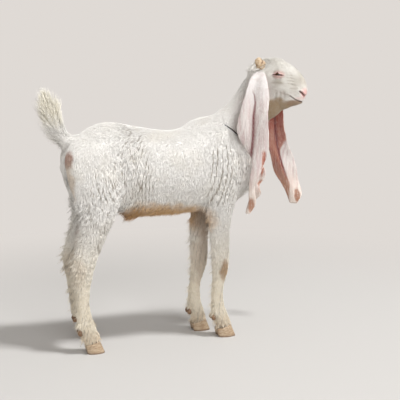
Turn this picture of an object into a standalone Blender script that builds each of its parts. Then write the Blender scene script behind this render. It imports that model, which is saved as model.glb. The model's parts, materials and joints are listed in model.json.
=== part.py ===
"""A standing white buck kid of a long-eared, Roman-nosed goat breed, life size.

Built with +X towards the head, +Y to the animal's left, +Z up and the hooves on Z = 0.
The flesh is lofted limb by limb, melted into one body, then parted by thin cuts.
"""
import math

import bmesh
import bpy
import numpy as np
from mathutils import Matrix, Vector
from mathutils.bvhtree import BVHTree

# Driving dimensions, in metres
GAP = 0.0004                      # clearance between neighbouring pieces
VOXEL = 0.0046                    # grain of the melted body
FLESH_TRIANGLES = 3300            # faces left on the flesh after thinning
HEAD_YAW = math.radians(-36)      # the head looks to the animal's right
HEAD_ORIGIN = Vector((0.095, -0.030, 0.700))
# How far each left leg stands ahead of the right one: at the knee or hock, and at the foot
STRIDE = {"fore": (-0.034, -0.051), "hind": (-0.009, 0.010)}
HOOF_HEIGHT = 0.028
HOOF_LENGTH = {"fore": 0.049, "hind": 0.045}
HOOF_WIDTH = 0.0215
CLAW_SPLAY = 0.0114               # half the distance between the two claws of a foot
CORONET_SLOPE = math.radians(17)
BLOCK_DEPTH = 0.060               # depth of the cutter at the coronet, more than a hoof's height
HOOF_BLANK = 0.022                # height of a claw above the coronet before its top is cut
DEWCLAW_HEIGHT = 0.062
DEWCLAW_BACK = 0.0205             # from the middle of the fetlock to the dewclaws
DEWCLAW_SPLAY = 0.0100
DEWCLAW_RADII = (0.0078, 0.0060, 0.0092)
HORN_RADII = (0.0140, 0.0140, 0.0190)
EYE_RADIUS = 0.0125
EAR_THICKNESS = 0.0032
EAR_FOLD = 0.016                  # width of the bend along an ear's spine
EAR_RUFFLE = 0.004
COLLAR_RADIUS = 0.0022
COLLAR_LIFT = 0.0050              # from the coat to the middle of the cord
COLLAR_CENTER = Vector((0.037, -0.002, 0.538))
COLLAR_NORMAL = Vector((0.66, 0, 0.75)).normalized()
COLLAR_POINTS = 32

RIGHT, LEFT = -1, 1
SIDES = {"right": RIGHT, "left": LEFT}

HEAD_FRAME = Matrix.Translation(HEAD_ORIGIN) @ Matrix.Rotation(HEAD_YAW, 4, "Z")
HEAD_MIDDLE = HEAD_FRAME @ Vector((0.050, 0, -0.020))

# Stations of a limb: x, y, z, half width, reach forward or up, reach back or down
TRUNK = [
    (-0.428, 0, 0.492, 0.022, 0.022, 0.026),
    (-0.414, 0, 0.488, 0.045, 0.044, 0.044),
    (-0.385, 0, 0.484, 0.062, 0.079, 0.066),
    (-0.335, 0, 0.478, 0.071, 0.108, 0.088),
    (-0.285, 0, 0.468, 0.076, 0.112, 0.112),
    (-0.225, 0, 0.455, 0.083, 0.114, 0.116),
    (-0.160, 0, 0.450, 0.089, 0.112, 0.112),
    (-0.100, 0, 0.456, 0.088, 0.112, 0.113),
    (-0.040, 0, 0.468, 0.081, 0.130, 0.125),
    (0.015, 0, 0.470, 0.072, 0.122, 0.128),
    (0.060, 0, 0.468, 0.058, 0.095, 0.074),
    (0.096, 0, 0.482, 0.038, 0.052, 0.040),
]
NECK = [
    (-0.020, 0, 0.500, 0.066, 0.080, 0.090),
    (0.018, 0, 0.540, 0.060, 0.078, 0.100),
    (0.050, -0.003, 0.584, 0.050, 0.063, 0.077),
    (0.072, -0.010, 0.627, 0.043, 0.050, 0.061),
    (0.088, -0.019, 0.667, 0.039, 0.044, 0.049),
    (0.100, -0.028, 0.702, 0.034, 0.032, 0.036),
]
# In the head's own frame: forward, left, up
HEAD = [
    (-0.030, 0, 0.008, 0.030, 0.022, 0.034),
    (-0.006, 0, 0.000, 0.041, 0.050, 0.056),
    (0.022, 0, -0.012, 0.045, 0.066, 0.080),
    (0.050, 0, -0.024, 0.042, 0.065, 0.080),
    (0.078, 0, -0.037, 0.033, 0.060, 0.058),
    (0.099, 0, -0.045, 0.027, 0.049, 0.037),
    (0.112, 0, -0.050, 0.0240, 0.035, 0.028),
    (0.122, 0, -0.054, 0.0160, 0.020, 0.016),
]
TAIL = [
    (-0.385, 0, 0.528, 0.030, 0.026, 0.022),
    (-0.414, 0, 0.537, 0.022, 0.022, 0.019),
    (-0.436, 0, 0.560, 0.020, 0.022, 0.018),
    (-0.449, 0, 0.588, 0.024, 0.024, 0.022),
    (-0.458, 0, 0.615, 0.026, 0.026, 0.025),
    (-0.464, 0, 0.637, 0.017, 0.017, 0.017),
    (-0.467, 0, 0.649, 0.004, 0.004, 0.004),
]
FORE_LEG = [
    (-0.020, 0.046, 0.565, 0.020, 0.030, 0.032),
    (-0.010, 0.056, 0.510, 0.028, 0.046, 0.050),
    (-0.004, 0.060, 0.455, 0.031, 0.046, 0.056),
    (-0.012, 0.057, 0.410, 0.032, 0.040, 0.050),
    (-0.018, 0.053, 0.372, 0.030, 0.036, 0.047),
    (-0.020, 0.049, 0.336, 0.027, 0.031, 0.038),
    (-0.021, 0.045, 0.295, 0.024, 0.027, 0.032),
    (-0.020, 0.042, 0.250, 0.021, 0.026, 0.028),
    (-0.018, 0.040, 0.205, 0.0195, 0.025, 0.026),
    (-0.019, 0.039, 0.178, 0.0180, 0.021, 0.023),
    (-0.023, 0.038, 0.150, 0.0152, 0.017, 0.019),
    (-0.026, 0.037, 0.122, 0.0145, 0.016, 0.017),
    (-0.025, 0.036, 0.093, 0.0165, 0.018, 0.020),
    (-0.021, 0.036, 0.068, 0.0195, 0.021, 0.023),
    (-0.012, 0.036, 0.045, 0.0190, 0.021, 0.021),
    (-0.004, 0.036, 0.020, 0.0195, 0.023, 0.022),
]
HIND_LEG = [
    (-0.338, 0.036, 0.535, 0.028, 0.040, 0.042),
    (-0.352, 0.044, 0.500, 0.038, 0.060, 0.074),
    (-0.353, 0.050, 0.445, 0.042, 0.066, 0.070),
    (-0.349, 0.054, 0.395, 0.041, 0.060, 0.057),
    (-0.352, 0.057, 0.348, 0.036, 0.046, 0.045),
    (-0.361, 0.059, 0.310, 0.030, 0.035, 0.037),
    (-0.372, 0.060, 0.280, 0.025, 0.031, 0.033),
    (-0.383, 0.061, 0.250, 0.0215, 0.030, 0.030),
    (-0.389, 0.062, 0.226, 0.0200, 0.028, 0.029),
    (-0.392, 0.062, 0.198, 0.0180, 0.024, 0.024),
    (-0.394, 0.062, 0.165, 0.0158, 0.019, 0.019),
    (-0.394, 0.062, 0.125, 0.0148, 0.017, 0.017),
    (-0.391, 0.062, 0.095, 0.0168, 0.019, 0.020),
    (-0.387, 0.062, 0.072, 0.0195, 0.021, 0.023),
    (-0.377, 0.062, 0.046, 0.0190, 0.021, 0.022),
    (-0.367, 0.062, 0.020, 0.0195, 0.023, 0.023),
]
SHEATH = [
    (-0.205, 0, 0.358, 0.010, 0.014, 0.018),
    (-0.232, 0, 0.350, 0.014, 0.014, 0.018),
    (-0.252, 0, 0.338, 0.015, 0.014, 0.017),
    (-0.270, 0, 0.334, 0.006, 0.006, 0.008),
]
SCROTUM = [
    (-0.338, 0, 0.412, 0.010, 0.010, 0.010),
    (-0.338, 0, 0.390, 0.0105, 0.012, 0.012),
    (-0.337, 0, 0.370, 0.0125, 0.014, 0.015),
    (-0.336, 0, 0.356, 0.0095, 0.010, 0.011),
    (-0.336, 0, 0.350, 0.0040, 0.004, 0.004),
]
ORBIT = (0.057, 0.0335, 0.003)           # eye centre beside the head's midline
HORN = (0.006, 0.030, 0.031)
HORN_LEAN = (-0.35, 0.30, 0.90)

# Places where limbs grow into each other: centre, reach
MELTS = [
    ((-0.010, 0, 0.560), 0.085),
    ((0.085, 0, 0.520), 0.070),
    ((0.060, -0.01, 0.640), 0.050),
    ((0.115, -0.04, 0.600), 0.045),
    ((-0.400, 0, 0.540), 0.045),
    ((-0.250, 0, 0.350), 0.050),
    ((-0.020, 0.06, 0.540), 0.075),
    ((-0.020, -0.06, 0.540), 0.075),
    ((-0.020, 0, 0.370), 0.060),
    ((-0.310, 0.05, 0.520), 0.085),
    ((-0.310, -0.05, 0.520), 0.085),
    ((-0.330, 0.03, 0.400), 0.055),
    ((-0.330, -0.03, 0.400), 0.055),
    ((-0.290, 0.05, 0.400), 0.055),
    ((-0.290, -0.05, 0.400), 0.055),
]

# Cuts that part the body: centre, normal, spread, the direction of its width
BODY_CUTS = [
    ((0.092, -0.026, 0.648), (0.895, -0.30, 0.44), (0.200, 0.150), (0.31, 0.95, 0)),
    ((0.035, 0, 0.516), (0.64, 0, 0.77), (0.290, 0.220), (0, 1, 0)),
    ((-0.420, 0, 0.544), (-0.62, 0, 0.78), (0.075, 0.090), (0, 1, 0)),
    ((-0.350, 0.060, 0.379), (0.47, 0, 0.88), (0.215, 0.116), (0, 1, 0)),
    ((-0.350, -0.060, 0.379), (0.47, 0, 0.88), (0.215, 0.116), (0, 1, 0)),
]
# Cuts across a leg: height, spread, tilt
LEG_CUTS = {
    "fore": [(0.331, 0.110, 0.0), (0.182, 0.080, 0.0), (0.084, 0.070, 0.0)],
    "hind": [(0.300, 0.120, 0.20), (0.192, 0.080, 0.0), (0.088, 0.070, 0.0)],
}
# Pieces of a leg, and a height inside each
LEG_PIECES = {
    "fore": {"upper": 0.25, "cannon": 0.13, "pastern": 0.055},
    "hind": {"thigh": 0.33, "gaskin": 0.25, "cannon": 0.14, "pastern": 0.055},
}


def clear_scene():
    for obj in list(bpy.data.objects):
        bpy.data.objects.remove(obj, do_unlink=True)


def new_collection(name):
    collection = bpy.data.collections.new(name)
    bpy.context.scene.collection.children.link(collection)
    return collection


def new_material(name, color, roughness):
    material = bpy.data.materials.new(name)
    material.use_nodes = True
    shader = material.node_tree.nodes["Principled BSDF"]
    shader.inputs["Base Color"].default_value = (*color, 1.0)
    shader.inputs["Roughness"].default_value = roughness
    shader.inputs["Metallic"].default_value = 0.0
    return material


def spline(rows, count):
    """Rows read evenly along a smooth curve through the given rows."""
    rows = np.asarray(rows, dtype=float)
    ends = np.vstack([2 * rows[0] - rows[1], rows, 2 * rows[-1] - rows[-2]])
    places = np.linspace(0, len(rows) - 1, count)
    first = np.minimum(places.astype(int), len(rows) - 2)
    t = (places - first)[:, None]
    a, b, c, d = (ends[first + step] for step in range(4))
    return 0.5 * (2 * b + (c - a) * t + (2 * a - 5 * b + 4 * c - d) * t**2 + (3 * b - a - 3 * c + d) * t**3)


def add_mesh(name, points, faces, collection):
    mesh = bpy.data.meshes.new(name)
    mesh.from_pydata([tuple(point) for point in points], [], faces)
    mesh.update()
    obj = bpy.data.objects.new(name, mesh)
    collection.objects.link(obj)
    return obj


def tube_faces(rings, sides):
    faces = []
    for ring in range(rings - 1):
        for side in range(sides):
            following = (side + 1) % sides
            low, high = ring * sides, (ring + 1) * sides
            faces.append((low + side, low + following, high + following, high + side))
    faces.append(tuple(range(sides))[::-1])
    faces.append(tuple(range((rings - 1) * sides, rings * sides)))
    return faces


def loft(name, stations, collection, frame=Matrix.Identity(4), rings=28, sides=20, pinch=0.0):
    """A closed limb. Each ring stands square to the path, wide along Y.

    pinch narrows the lower or rear half of each ring, for a jaw or a keel.
    """
    rows = spline(stations, rings)
    path = rows[:, :3]
    heading = np.gradient(path, axis=0)
    heading /= np.linalg.norm(heading, axis=1)[:, None]
    across = np.array((0.0, 1.0, 0.0))
    points = []
    for center, direction, (width, ahead, behind) in zip(path, heading, rows[:, 3:]):
        outward = np.cross(direction, across)
        outward /= np.linalg.norm(outward)
        for side in range(sides):
            angle = 2 * math.pi * side / sides
            rise = math.sin(angle)
            reach = ahead if rise > 0 else behind
            share = 1 - pinch * max(0.0, -rise) ** 1.5
            points.append(center + across * width * share * math.cos(angle) + outward * reach * rise)
    obj = add_mesh(name, points, tube_faces(rings, sides), collection)
    obj.data.transform(frame)
    face_outward(obj.data)
    return obj


def face_outward(mesh):
    work = bmesh.new()
    work.from_mesh(mesh)
    bmesh.ops.recalc_face_normals(work, faces=work.faces)
    work.to_mesh(mesh)
    work.free()


def baked(obj):
    """The object's mesh with its modifiers applied."""
    graph = bpy.context.evaluated_depsgraph_get()
    mesh = bpy.data.meshes.new_from_object(obj.evaluated_get(graph))
    mesh.transform(obj.matrix_world)
    return mesh


def settle(obj):
    """Apply all the modifiers of an object that stands at the origin."""
    mesh = baked(obj)
    obj.modifiers.clear()
    obj.data = mesh
    obj.matrix_world = Matrix.Identity(4)


def joined(name, objects, collection):
    work = bmesh.new()
    for obj in objects:
        work.from_mesh(obj.data)
        bpy.data.objects.remove(obj, do_unlink=True)
    mesh = bpy.data.meshes.new(name)
    work.to_mesh(mesh)
    work.free()
    obj = bpy.data.objects.new(name, mesh)
    collection.objects.link(obj)
    return obj


def relax(mesh, passes, share, swell=0.0):
    """Pull each vertex towards its neighbours' middle, then back out by swell to keep the volume."""
    count = len(mesh.vertices)
    places = np.empty(count * 3)
    mesh.vertices.foreach_get("co", places)
    places = places.reshape(-1, 3)
    edges = np.empty(len(mesh.edges) * 2, dtype=int)
    mesh.edges.foreach_get("vertices", edges)
    starts, ends = edges.reshape(-1, 2).T
    links = np.bincount(np.concatenate([starts, ends]), minlength=count)[:, None]
    for _ in range(passes):
        for step in (0.5, -swell) if swell else (0.5,):
            total = np.empty_like(places)
            for axis in range(3):
                total[:, axis] = np.bincount(starts, places[ends, axis], count)
                total[:, axis] += np.bincount(ends, places[starts, axis], count)
            places += step * share[:, None] * (total / links - places)
    mesh.vertices.foreach_set("co", places.ravel())
    mesh.update()


def melt_share(mesh):
    """How strongly each vertex melts: 1 in the middle of a join, 0 away from them all."""
    places = np.empty(len(mesh.vertices) * 3)
    mesh.vertices.foreach_get("co", places)
    places = places.reshape(-1, 3)
    share = np.zeros(len(places))
    for center, reach in MELTS:
        distance = np.linalg.norm(places - np.array(center), axis=1)
        share = np.maximum(share, np.clip(1.4 - 1.4 * distance / reach, 0, 1))
    return share


def eased(value):
    value = min(1.0, max(0.0, value))
    return value * value * (3 - 2 * value)


def leg_rows(limb, side):
    """A leg's stations on one side. The left legs lean to stand ahead or behind by their stride."""
    stations = FORE_LEG if limb == "fore" else HIND_LEG
    knee_shift, foot_shift = STRIDE[limb] if side == LEFT else (0.0, 0.0)
    shoulder, knee = 0.46, 0.22
    rows = []
    for x, y, z, width, ahead, behind in stations:
        shift = knee_shift * eased((shoulder - z) / (shoulder - knee))
        shift += (foot_shift - knee_shift) * min(1.0, max(0.0, (knee - z) / knee))
        rows.append((x + shift, side * y, z, width, ahead, behind))
    return rows


def lofted_flesh(collection):
    """Every limb as its own loft, overlapping where they grow together."""
    pieces = [
        loft("trunk_loft", TRUNK, collection, rings=44, sides=32),
        loft("neck_loft", NECK, collection, sides=28),
        loft("head_loft", HEAD, collection, HEAD_FRAME, rings=40, sides=32, pinch=0.34),
        loft("tail_loft", TAIL, collection),
        loft("sheath_loft", SHEATH, collection, sides=12),
    ]
    for side in SIDES.values():
        for limb in STRIDE:
            pieces.append(loft(f"{limb}_loft", leg_rows(limb, side), collection, rings=56))
        pieces.append(brow(side, collection))
        pieces.append(cheek(side, collection))
        pieces.append(nostril_rim(side, collection))
    pieces += throat(collection)
    return pieces


def ball(name, center, radii, collection, frame=HEAD_FRAME, segments=20):
    """An ellipsoid centred in the given frame."""
    mesh = bpy.data.meshes.new(name)
    work = bmesh.new()
    bmesh.ops.create_uvsphere(work, u_segments=segments, v_segments=segments // 2 + 1, radius=1.0)
    bmesh.ops.scale(work, verts=work.verts, vec=radii)
    bmesh.ops.translate(work, verts=work.verts, vec=center)
    bmesh.ops.transform(work, matrix=frame, verts=work.verts)
    work.to_mesh(mesh)
    work.free()
    obj = bpy.data.objects.new(name, mesh)
    collection.objects.link(obj)
    return obj


def brow(side, collection):
    """The bony rim that stands out round the eye."""
    forward, out, up = ORBIT
    return ball("brow", (forward, side * (out - 0.004), up + 0.003), (0.021, 0.0135, 0.018), collection)


def cheek(side, collection):
    """The chewing muscle at the rear of the jaw."""
    return ball("cheek", (0.022, side * 0.020, -0.058), (0.034, 0.018, 0.030), collection)


def throat(collection):
    """The slack skin that slopes from the jaw down to the front of the neck, as two overlapping swellings."""
    upper = ball("throat_upper", (0.014, 0, -0.085), (0.045, 0.030, 0.030), collection)
    lower = ball("throat_lower", (-0.012, 0, -0.112), (0.038, 0.030, 0.045), collection)
    return [upper, lower]


def nostril_rim(side, collection):
    return ball("nostril_rim", (0.112, side * 0.0125, -0.042), (0.013, 0.0105, 0.012), collection)


def melted_flesh(collection):
    """The limbs as one smooth body with few faces."""
    body = joined("flesh", lofted_flesh(collection), collection)
    remesh = body.modifiers.new("melt", "REMESH")
    remesh.mode = "VOXEL"
    remesh.voxel_size = VOXEL
    settle(body)
    relax(body.data, 30, melt_share(body.data))
    relax(body.data, 7, np.ones(len(body.data.vertices)), swell=0.52)
    thin_out(body)
    return body


def thin_out(body):
    """Fewer faces, placed where the body curves most, and closer together on the head."""
    group = body.vertex_groups.new(name="coarse")
    for vertex in body.data.vertices:
        on_head = (vertex.co - HEAD_MIDDLE).length < 0.11
        group.add([vertex.index], 0.99 if on_head else 1.0, "REPLACE")
    faces = sum(len(face.vertices) - 2 for face in body.data.polygons)
    decimate = body.modifiers.new("thin", "DECIMATE")
    decimate.ratio = FLESH_TRIANGLES / faces
    decimate.vertex_group = group.name
    settle(body)
    body.vertex_groups.clear()


def slab(name, center, normal, spread, collection, across=(0, 1, 0), thickness=GAP):
    """A thin square cutter that stands across a limb."""
    normal = Vector(normal).normalized()
    across = Vector(across)
    across = (across - normal * across.dot(normal)).normalized()
    along = across.cross(normal)
    turn = Matrix((along, across, normal)).transposed().to_4x4()
    mesh = bpy.data.meshes.new(name)
    work = bmesh.new()
    bmesh.ops.create_cube(work, size=1.0)
    bmesh.ops.scale(work, verts=work.verts, vec=(spread[0], spread[1], thickness))
    bmesh.ops.transform(work, matrix=Matrix.Translation(center) @ turn, verts=work.verts)
    work.to_mesh(mesh)
    work.free()
    obj = bpy.data.objects.new(name, mesh)
    obj.hide_render = True
    obj.display_type = "WIRE"
    collection.objects.link(obj)
    return obj


def limb_at(stations, height):
    """The middle of a limb at a height, from its stations."""
    heights = [row[2] for row in stations][::-1]
    return [float(np.interp(height, heights, [row[axis] for row in stations][::-1])) for axis in (0, 1)]


def leg_cuts(limb, side, cutters):
    """Cutters across one leg, kept off the leg beside it."""
    between_legs = 0.004
    cuts = []
    for height, spread, tilt in LEG_CUTS[limb]:
        x, y = limb_at(leg_rows(limb, side), height)
        width = min(spread, 2 * abs(y) - between_legs)
        cuts.append(slab("cut", (x, y, height), (tilt, 0, 1), (spread, width), cutters))
    return cuts


def coronet(limb, side):
    """The middle of the slanted plane between a pastern and its hoof."""
    x, y = limb_at(leg_rows(limb, side), HOOF_HEIGHT)
    return Vector((x, y, HOOF_HEIGHT))


def hoof_block(limb, side, cutters, lift):
    """Everything under the coronet plane of one foot, with the plane lifted by half a gap."""
    normal = Vector((-math.sin(CORONET_SLOPE), 0, math.cos(CORONET_SLOPE)))
    center = coronet(limb, side) + normal * (lift - BLOCK_DEPTH / 2)
    return slab("hoof_block", center, normal, (0.110, 0.060), cutters, thickness=BLOCK_DEPTH)


def cut_away(obj, cutters):
    for cutter in cutters:
        boolean = obj.modifiers.new("cut", "BOOLEAN")
        boolean.operation = "DIFFERENCE"
        boolean.object = cutter
    settle(obj)


def inflated(name, obj, distance, cutters):
    """A copy of a piece, swollen by the distance, as a cutter for its neighbour."""
    copy = bpy.data.objects.new(name, obj.data.copy())
    cutters.objects.link(copy)
    displace = copy.modifiers.new("swell", "DISPLACE")
    displace.strength = distance
    displace.mid_level = 0.0
    settle(copy)
    copy.hide_render = True
    copy.display_type = "WIRE"
    return copy


def parted(body, seeds, collection):
    """Each loose piece of the body as its own object, named by the seed nearest to it."""
    work = bmesh.new()
    work.from_mesh(body.data)
    remaining = set(work.verts)
    pieces = []
    while remaining:
        start = remaining.pop()
        group, queue = {start}, [start]
        while queue:
            for edge in queue.pop().link_edges:
                for vertex in edge.verts:
                    if vertex in remaining:
                        remaining.discard(vertex)
                        group.add(vertex)
                        queue.append(vertex)
        pieces.append(group)
    made = {}
    for name, seed in seeds.items():
        seed = Vector(seed)
        group = min(pieces, key=lambda verts: min((vertex.co - seed).length for vertex in verts))
        pieces.remove(group)
        order = {vertex: place for place, vertex in enumerate(sorted(group, key=lambda v: v.index))}
        faces = [face for face in work.faces if face.verts[0] in order]
        made[name] = add_mesh(name, [vertex.co for vertex in order],
                              [[order[vertex] for vertex in face.verts] for face in faces], collection)
    work.free()
    bpy.data.objects.remove(body, do_unlink=True)
    return made


def flesh_pieces(collection, cutters):
    """The body parted into trunk, neck, head, tail and leg pieces, and the cord that it wears."""
    body = melted_flesh(collection)
    worn = collar("collar", body, collection)
    cuts = [slab("cut", center, normal, spread, cutters, across)
            for center, normal, spread, across in BODY_CUTS]
    for side in SIDES.values():
        for limb in STRIDE:
            cuts += leg_cuts(limb, side, cutters)
            cuts.append(hoof_block(limb, side, cutters, GAP / 2))
    cut_away(body, cuts)
    seeds = {
        "trunk": (-0.16, 0, 0.563),
        "neck": (0.03, 0, 0.644),
        "head": HEAD_FRAME @ Vector((0.06, 0, 0.04)),
        "tail": (-0.46, 0, 0.62),
    }
    for word, side in SIDES.items():
        for limb, segments in LEG_PIECES.items():
            for segment, height in segments.items():
                x, y = limb_at(leg_rows(limb, side), height)
                seeds[f"{limb}leg_{word}_{segment}"] = (x, y + side * 0.02, height)
    pieces = parted(body, seeds, collection)
    pieces["collar"] = worn
    return pieces


# Ears: a long leaf folded along its spine, hanging from the side of the head.
# Each key: x, y, z of the spine, azimuth of the front edge, width of the rear wall and of the
# front wall, and the angle at which each wall leaves the spine (0 forward, 90 outward).
EAR_RIGHT = [
    (0.078, -0.067, 0.712, -30, 0.010, 0.012, 150, 10),
    (0.064, -0.085, 0.695, -28, 0.019, 0.026, 145, 30),
    (0.052, -0.093, 0.655, -25, 0.023, 0.044, 140, 36),
    (0.047, -0.095, 0.605, -25, 0.036, 0.047, 140, 40),
    (0.046, -0.097, 0.556, -25, 0.042, 0.049, 150, 40),
    (0.045, -0.102, 0.512, -25, 0.026, 0.049, 200, 34),
    (0.042, -0.107, 0.472, -28, 0.040, 0.037, 318, 24),
    (0.036, -0.107, 0.437, -30, 0.046, 0.027, 326, 16),
    (0.036, -0.107, 0.418, -30, 0.030, 0.018, 322, 20),
    (0.035, -0.106, 0.398, -34, 0.040, 0.022, 322, 30),
    (0.034, -0.105, 0.368, -40, 0.028, 0.022, 250, 10),
    (0.031, -0.104, 0.344, -40, 0.010, 0.010, 220, 0),
]
EAR_LEFT = [
    (0.124, 0.005, 0.712, -36, 0.010, 0.012, 170, 10),
    (0.140, 0.014, 0.693, -36, 0.020, 0.020, 165, 15),
    (0.152, 0.020, 0.652, -36, 0.034, 0.030, 160, 18),
    (0.158, 0.022, 0.603, -34, 0.036, 0.034, 160, 18),
    (0.161, 0.023, 0.556, -32, 0.034, 0.033, 165, 12),
    (0.169, 0.024, 0.510, -32, 0.022, 0.036, 180, -25),
    (0.181, 0.026, 0.472, -34, 0.026, 0.046, 196, -46),
    (0.194, 0.027, 0.438, -36, 0.034, 0.042, 202, -46),
    (0.208, 0.025, 0.404, -36, 0.022, 0.033, 205, -44),
    (0.217, 0.022, 0.374, -36, 0.016, 0.032, 200, -20),
    (0.219, 0.021, 0.346, -36, 0.008, 0.014, 200, -10),
]
EARS = {"right": (EAR_RIGHT, math.radians(62)), "left": (EAR_LEFT, math.radians(-20))}


def ear_section(rear_width, front_width, rear_angle, front_angle, curl, columns):
    """Offsets across the leaf, from the rear edge over the spine to the front edge.

    The heading turns smoothly at the spine, and each wall curls inward towards its edge.
    """
    fine = np.linspace(-1, 1, 161)
    distance = fine * np.where(fine < 0, rear_width, front_width)
    rear_heading = math.radians(rear_angle - 180) + curl * fine**2 * (fine < 0)
    front_heading = math.radians(front_angle) - curl * fine**2 * (fine > 0)
    blend = np.clip(distance / EAR_FOLD + 0.5, 0, 1)
    blend = blend * blend * (3 - 2 * blend)
    heading = rear_heading * (1 - blend) + front_heading * blend
    step = np.diff(distance)
    middle = 0.5 * (heading[1:] + heading[:-1])
    columns = np.linspace(-1, 1, columns)
    offsets = []
    for part in (np.cos(middle), np.sin(middle)):
        offset = np.concatenate([[0], np.cumsum(step * part)])
        offsets.append(np.interp(columns, fine, offset - np.interp(0, fine, offset)))
    return offsets


def ear(name, keys, curl, collection, rows=22, columns=8):
    """A leaf of even thickness, swept down its spine and ruffled along both edges."""
    path = spline(keys, rows)
    points = []
    for place, (x, y, z, azimuth, rear, front, rear_angle, front_angle) in enumerate(path):
        turn = math.radians(azimuth)
        ahead = Vector((math.cos(turn), math.sin(turn), 0))
        out = Vector((math.sin(turn), -math.cos(turn), 0))
        along, away = ear_section(rear, front, rear_angle, front_angle, curl, columns)
        edge = np.linspace(-1, 1, columns)
        ruffle = EAR_RUFFLE * edge**2 * np.sin(0.9 * place + 1.6 * np.sign(edge))
        for step in range(columns):
            points.append(Vector((x, y, z)) + ahead * along[step] + out * (away[step] + ruffle[step]))
    faces = []
    for row in range(rows - 1):
        for column in range(columns - 1):
            corner = row * columns + column
            faces.append((corner, corner + 1, corner + columns + 1, corner + columns))
    leaf = add_mesh(name, points, faces, collection)
    solidify = leaf.modifiers.new("thickness", "SOLIDIFY")
    solidify.thickness = EAR_THICKNESS
    solidify.offset = 0.0
    settle(leaf)
    face_outward(leaf.data)
    return leaf


def claw(name, limb, side, inner, collection, cutters):
    """Half a cloven hoof: flat underneath, straight inside, rounded outside and at the toe."""
    center = coronet(limb, side)
    toward_middle = -side if inner else side
    middle = center.y + toward_middle * CLAW_SPLAY
    levels, outline = 4, 14
    points = []
    for level in range(levels):
        rise = level / (levels - 1)
        height = rise * (HOOF_HEIGHT + HOOF_BLANK)
        length = HOOF_LENGTH[limb] * (1 - 0.18 * rise)
        shift = 0.0055 - 0.016 * rise
        for step in range(outline):
            angle = 2 * math.pi * step / outline
            forward = math.cos(angle)
            sideways = math.sin(angle)
            width = HOOF_WIDTH / 2 * (1 - 0.22 * max(0, forward) ** 2) * (1 - 0.05 * rise)
            points.append((center.x + shift + length / 2 * forward, middle + width * sideways, height))
    hoof = add_mesh(name, points, tube_faces(levels, outline), collection)
    face_outward(hoof.data)
    above = hoof_block(limb, side, cutters, BLOCK_DEPTH - GAP / 2)
    cut_away(hoof, [above])
    return hoof


def dewclaw(name, limb, side, inner, neighbour, collection, cutters):
    """A blunt horny button at the back of the fetlock."""
    x, y = limb_at(leg_rows(limb, side), DEWCLAW_HEIGHT)
    toward_middle = -side if inner else side
    center = (x - DEWCLAW_BACK, y + toward_middle * DEWCLAW_SPLAY, DEWCLAW_HEIGHT - 0.006)
    button = ball(name, center, DEWCLAW_RADII, collection, Matrix.Identity(4), 7)
    cut_away(button, [inflated("dewclaw_seat", neighbour, GAP, cutters)])
    return button


def horn_bud(name, side, head, collection, cutters):
    """A low rounded cone where the horn starts to grow."""
    forward, out, up = HORN
    lean_way = Vector((HORN_LEAN[0], side * HORN_LEAN[1], HORN_LEAN[2])).normalized()
    turn = lean_way.to_track_quat("Z", "Y").to_matrix().to_4x4()
    frame = HEAD_FRAME @ Matrix.Translation((forward, side * out, up)) @ turn
    bud = ball(name, (0, 0, 0), HORN_RADII, collection, frame, 12)
    cut_away(bud, [inflated("horn_seat", head, GAP, cutters)])
    return bud


def eye(name, side, collection):
    forward, out, up = ORBIT
    return ball(name, (forward, side * out, up), (EYE_RADIUS,) * 3, collection, HEAD_FRAME, 12)


def collar(name, body, collection):
    """A thin cord tied round the base of the neck, lying on the coat."""
    second = Vector((0, 1, 0))
    first = COLLAR_NORMAL.cross(second).normalized()
    work = bmesh.new()
    work.from_mesh(body.data)
    surface = BVHTree.FromBMesh(work)
    work.free()
    curve = bpy.data.curves.new(name, "CURVE")
    curve.dimensions = "3D"
    curve.bevel_depth = COLLAR_RADIUS
    curve.bevel_resolution = 1
    route = curve.splines.new("POLY")
    route.points.add(COLLAR_POINTS - 1)
    route.use_cyclic_u = True
    rays_each = 6
    rays = rays_each * COLLAR_POINTS
    angles = [2 * math.pi * ray / rays for ray in range(rays)]
    ways = [first * math.cos(angle) + second * math.sin(angle) for angle in angles]
    reach = [surface.ray_cast(COLLAR_CENTER, way)[3] for way in ways]
    for place, point in enumerate(route.points):
        ray = rays_each * place
        nearby = [reach[(ray + step) % rays] for step in range(-rays_each, rays_each + 1)]
        point.co = (*(COLLAR_CENTER + ways[ray] * (max(nearby) + COLLAR_LIFT)), 1.0)
    holder = bpy.data.objects.new(name + "_route", curve)
    collection.objects.link(holder)
    bpy.context.view_layer.update()
    obj = bpy.data.objects.new(name, baked(holder))
    collection.objects.link(obj)
    bpy.data.objects.remove(holder, do_unlink=True)
    return obj


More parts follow.
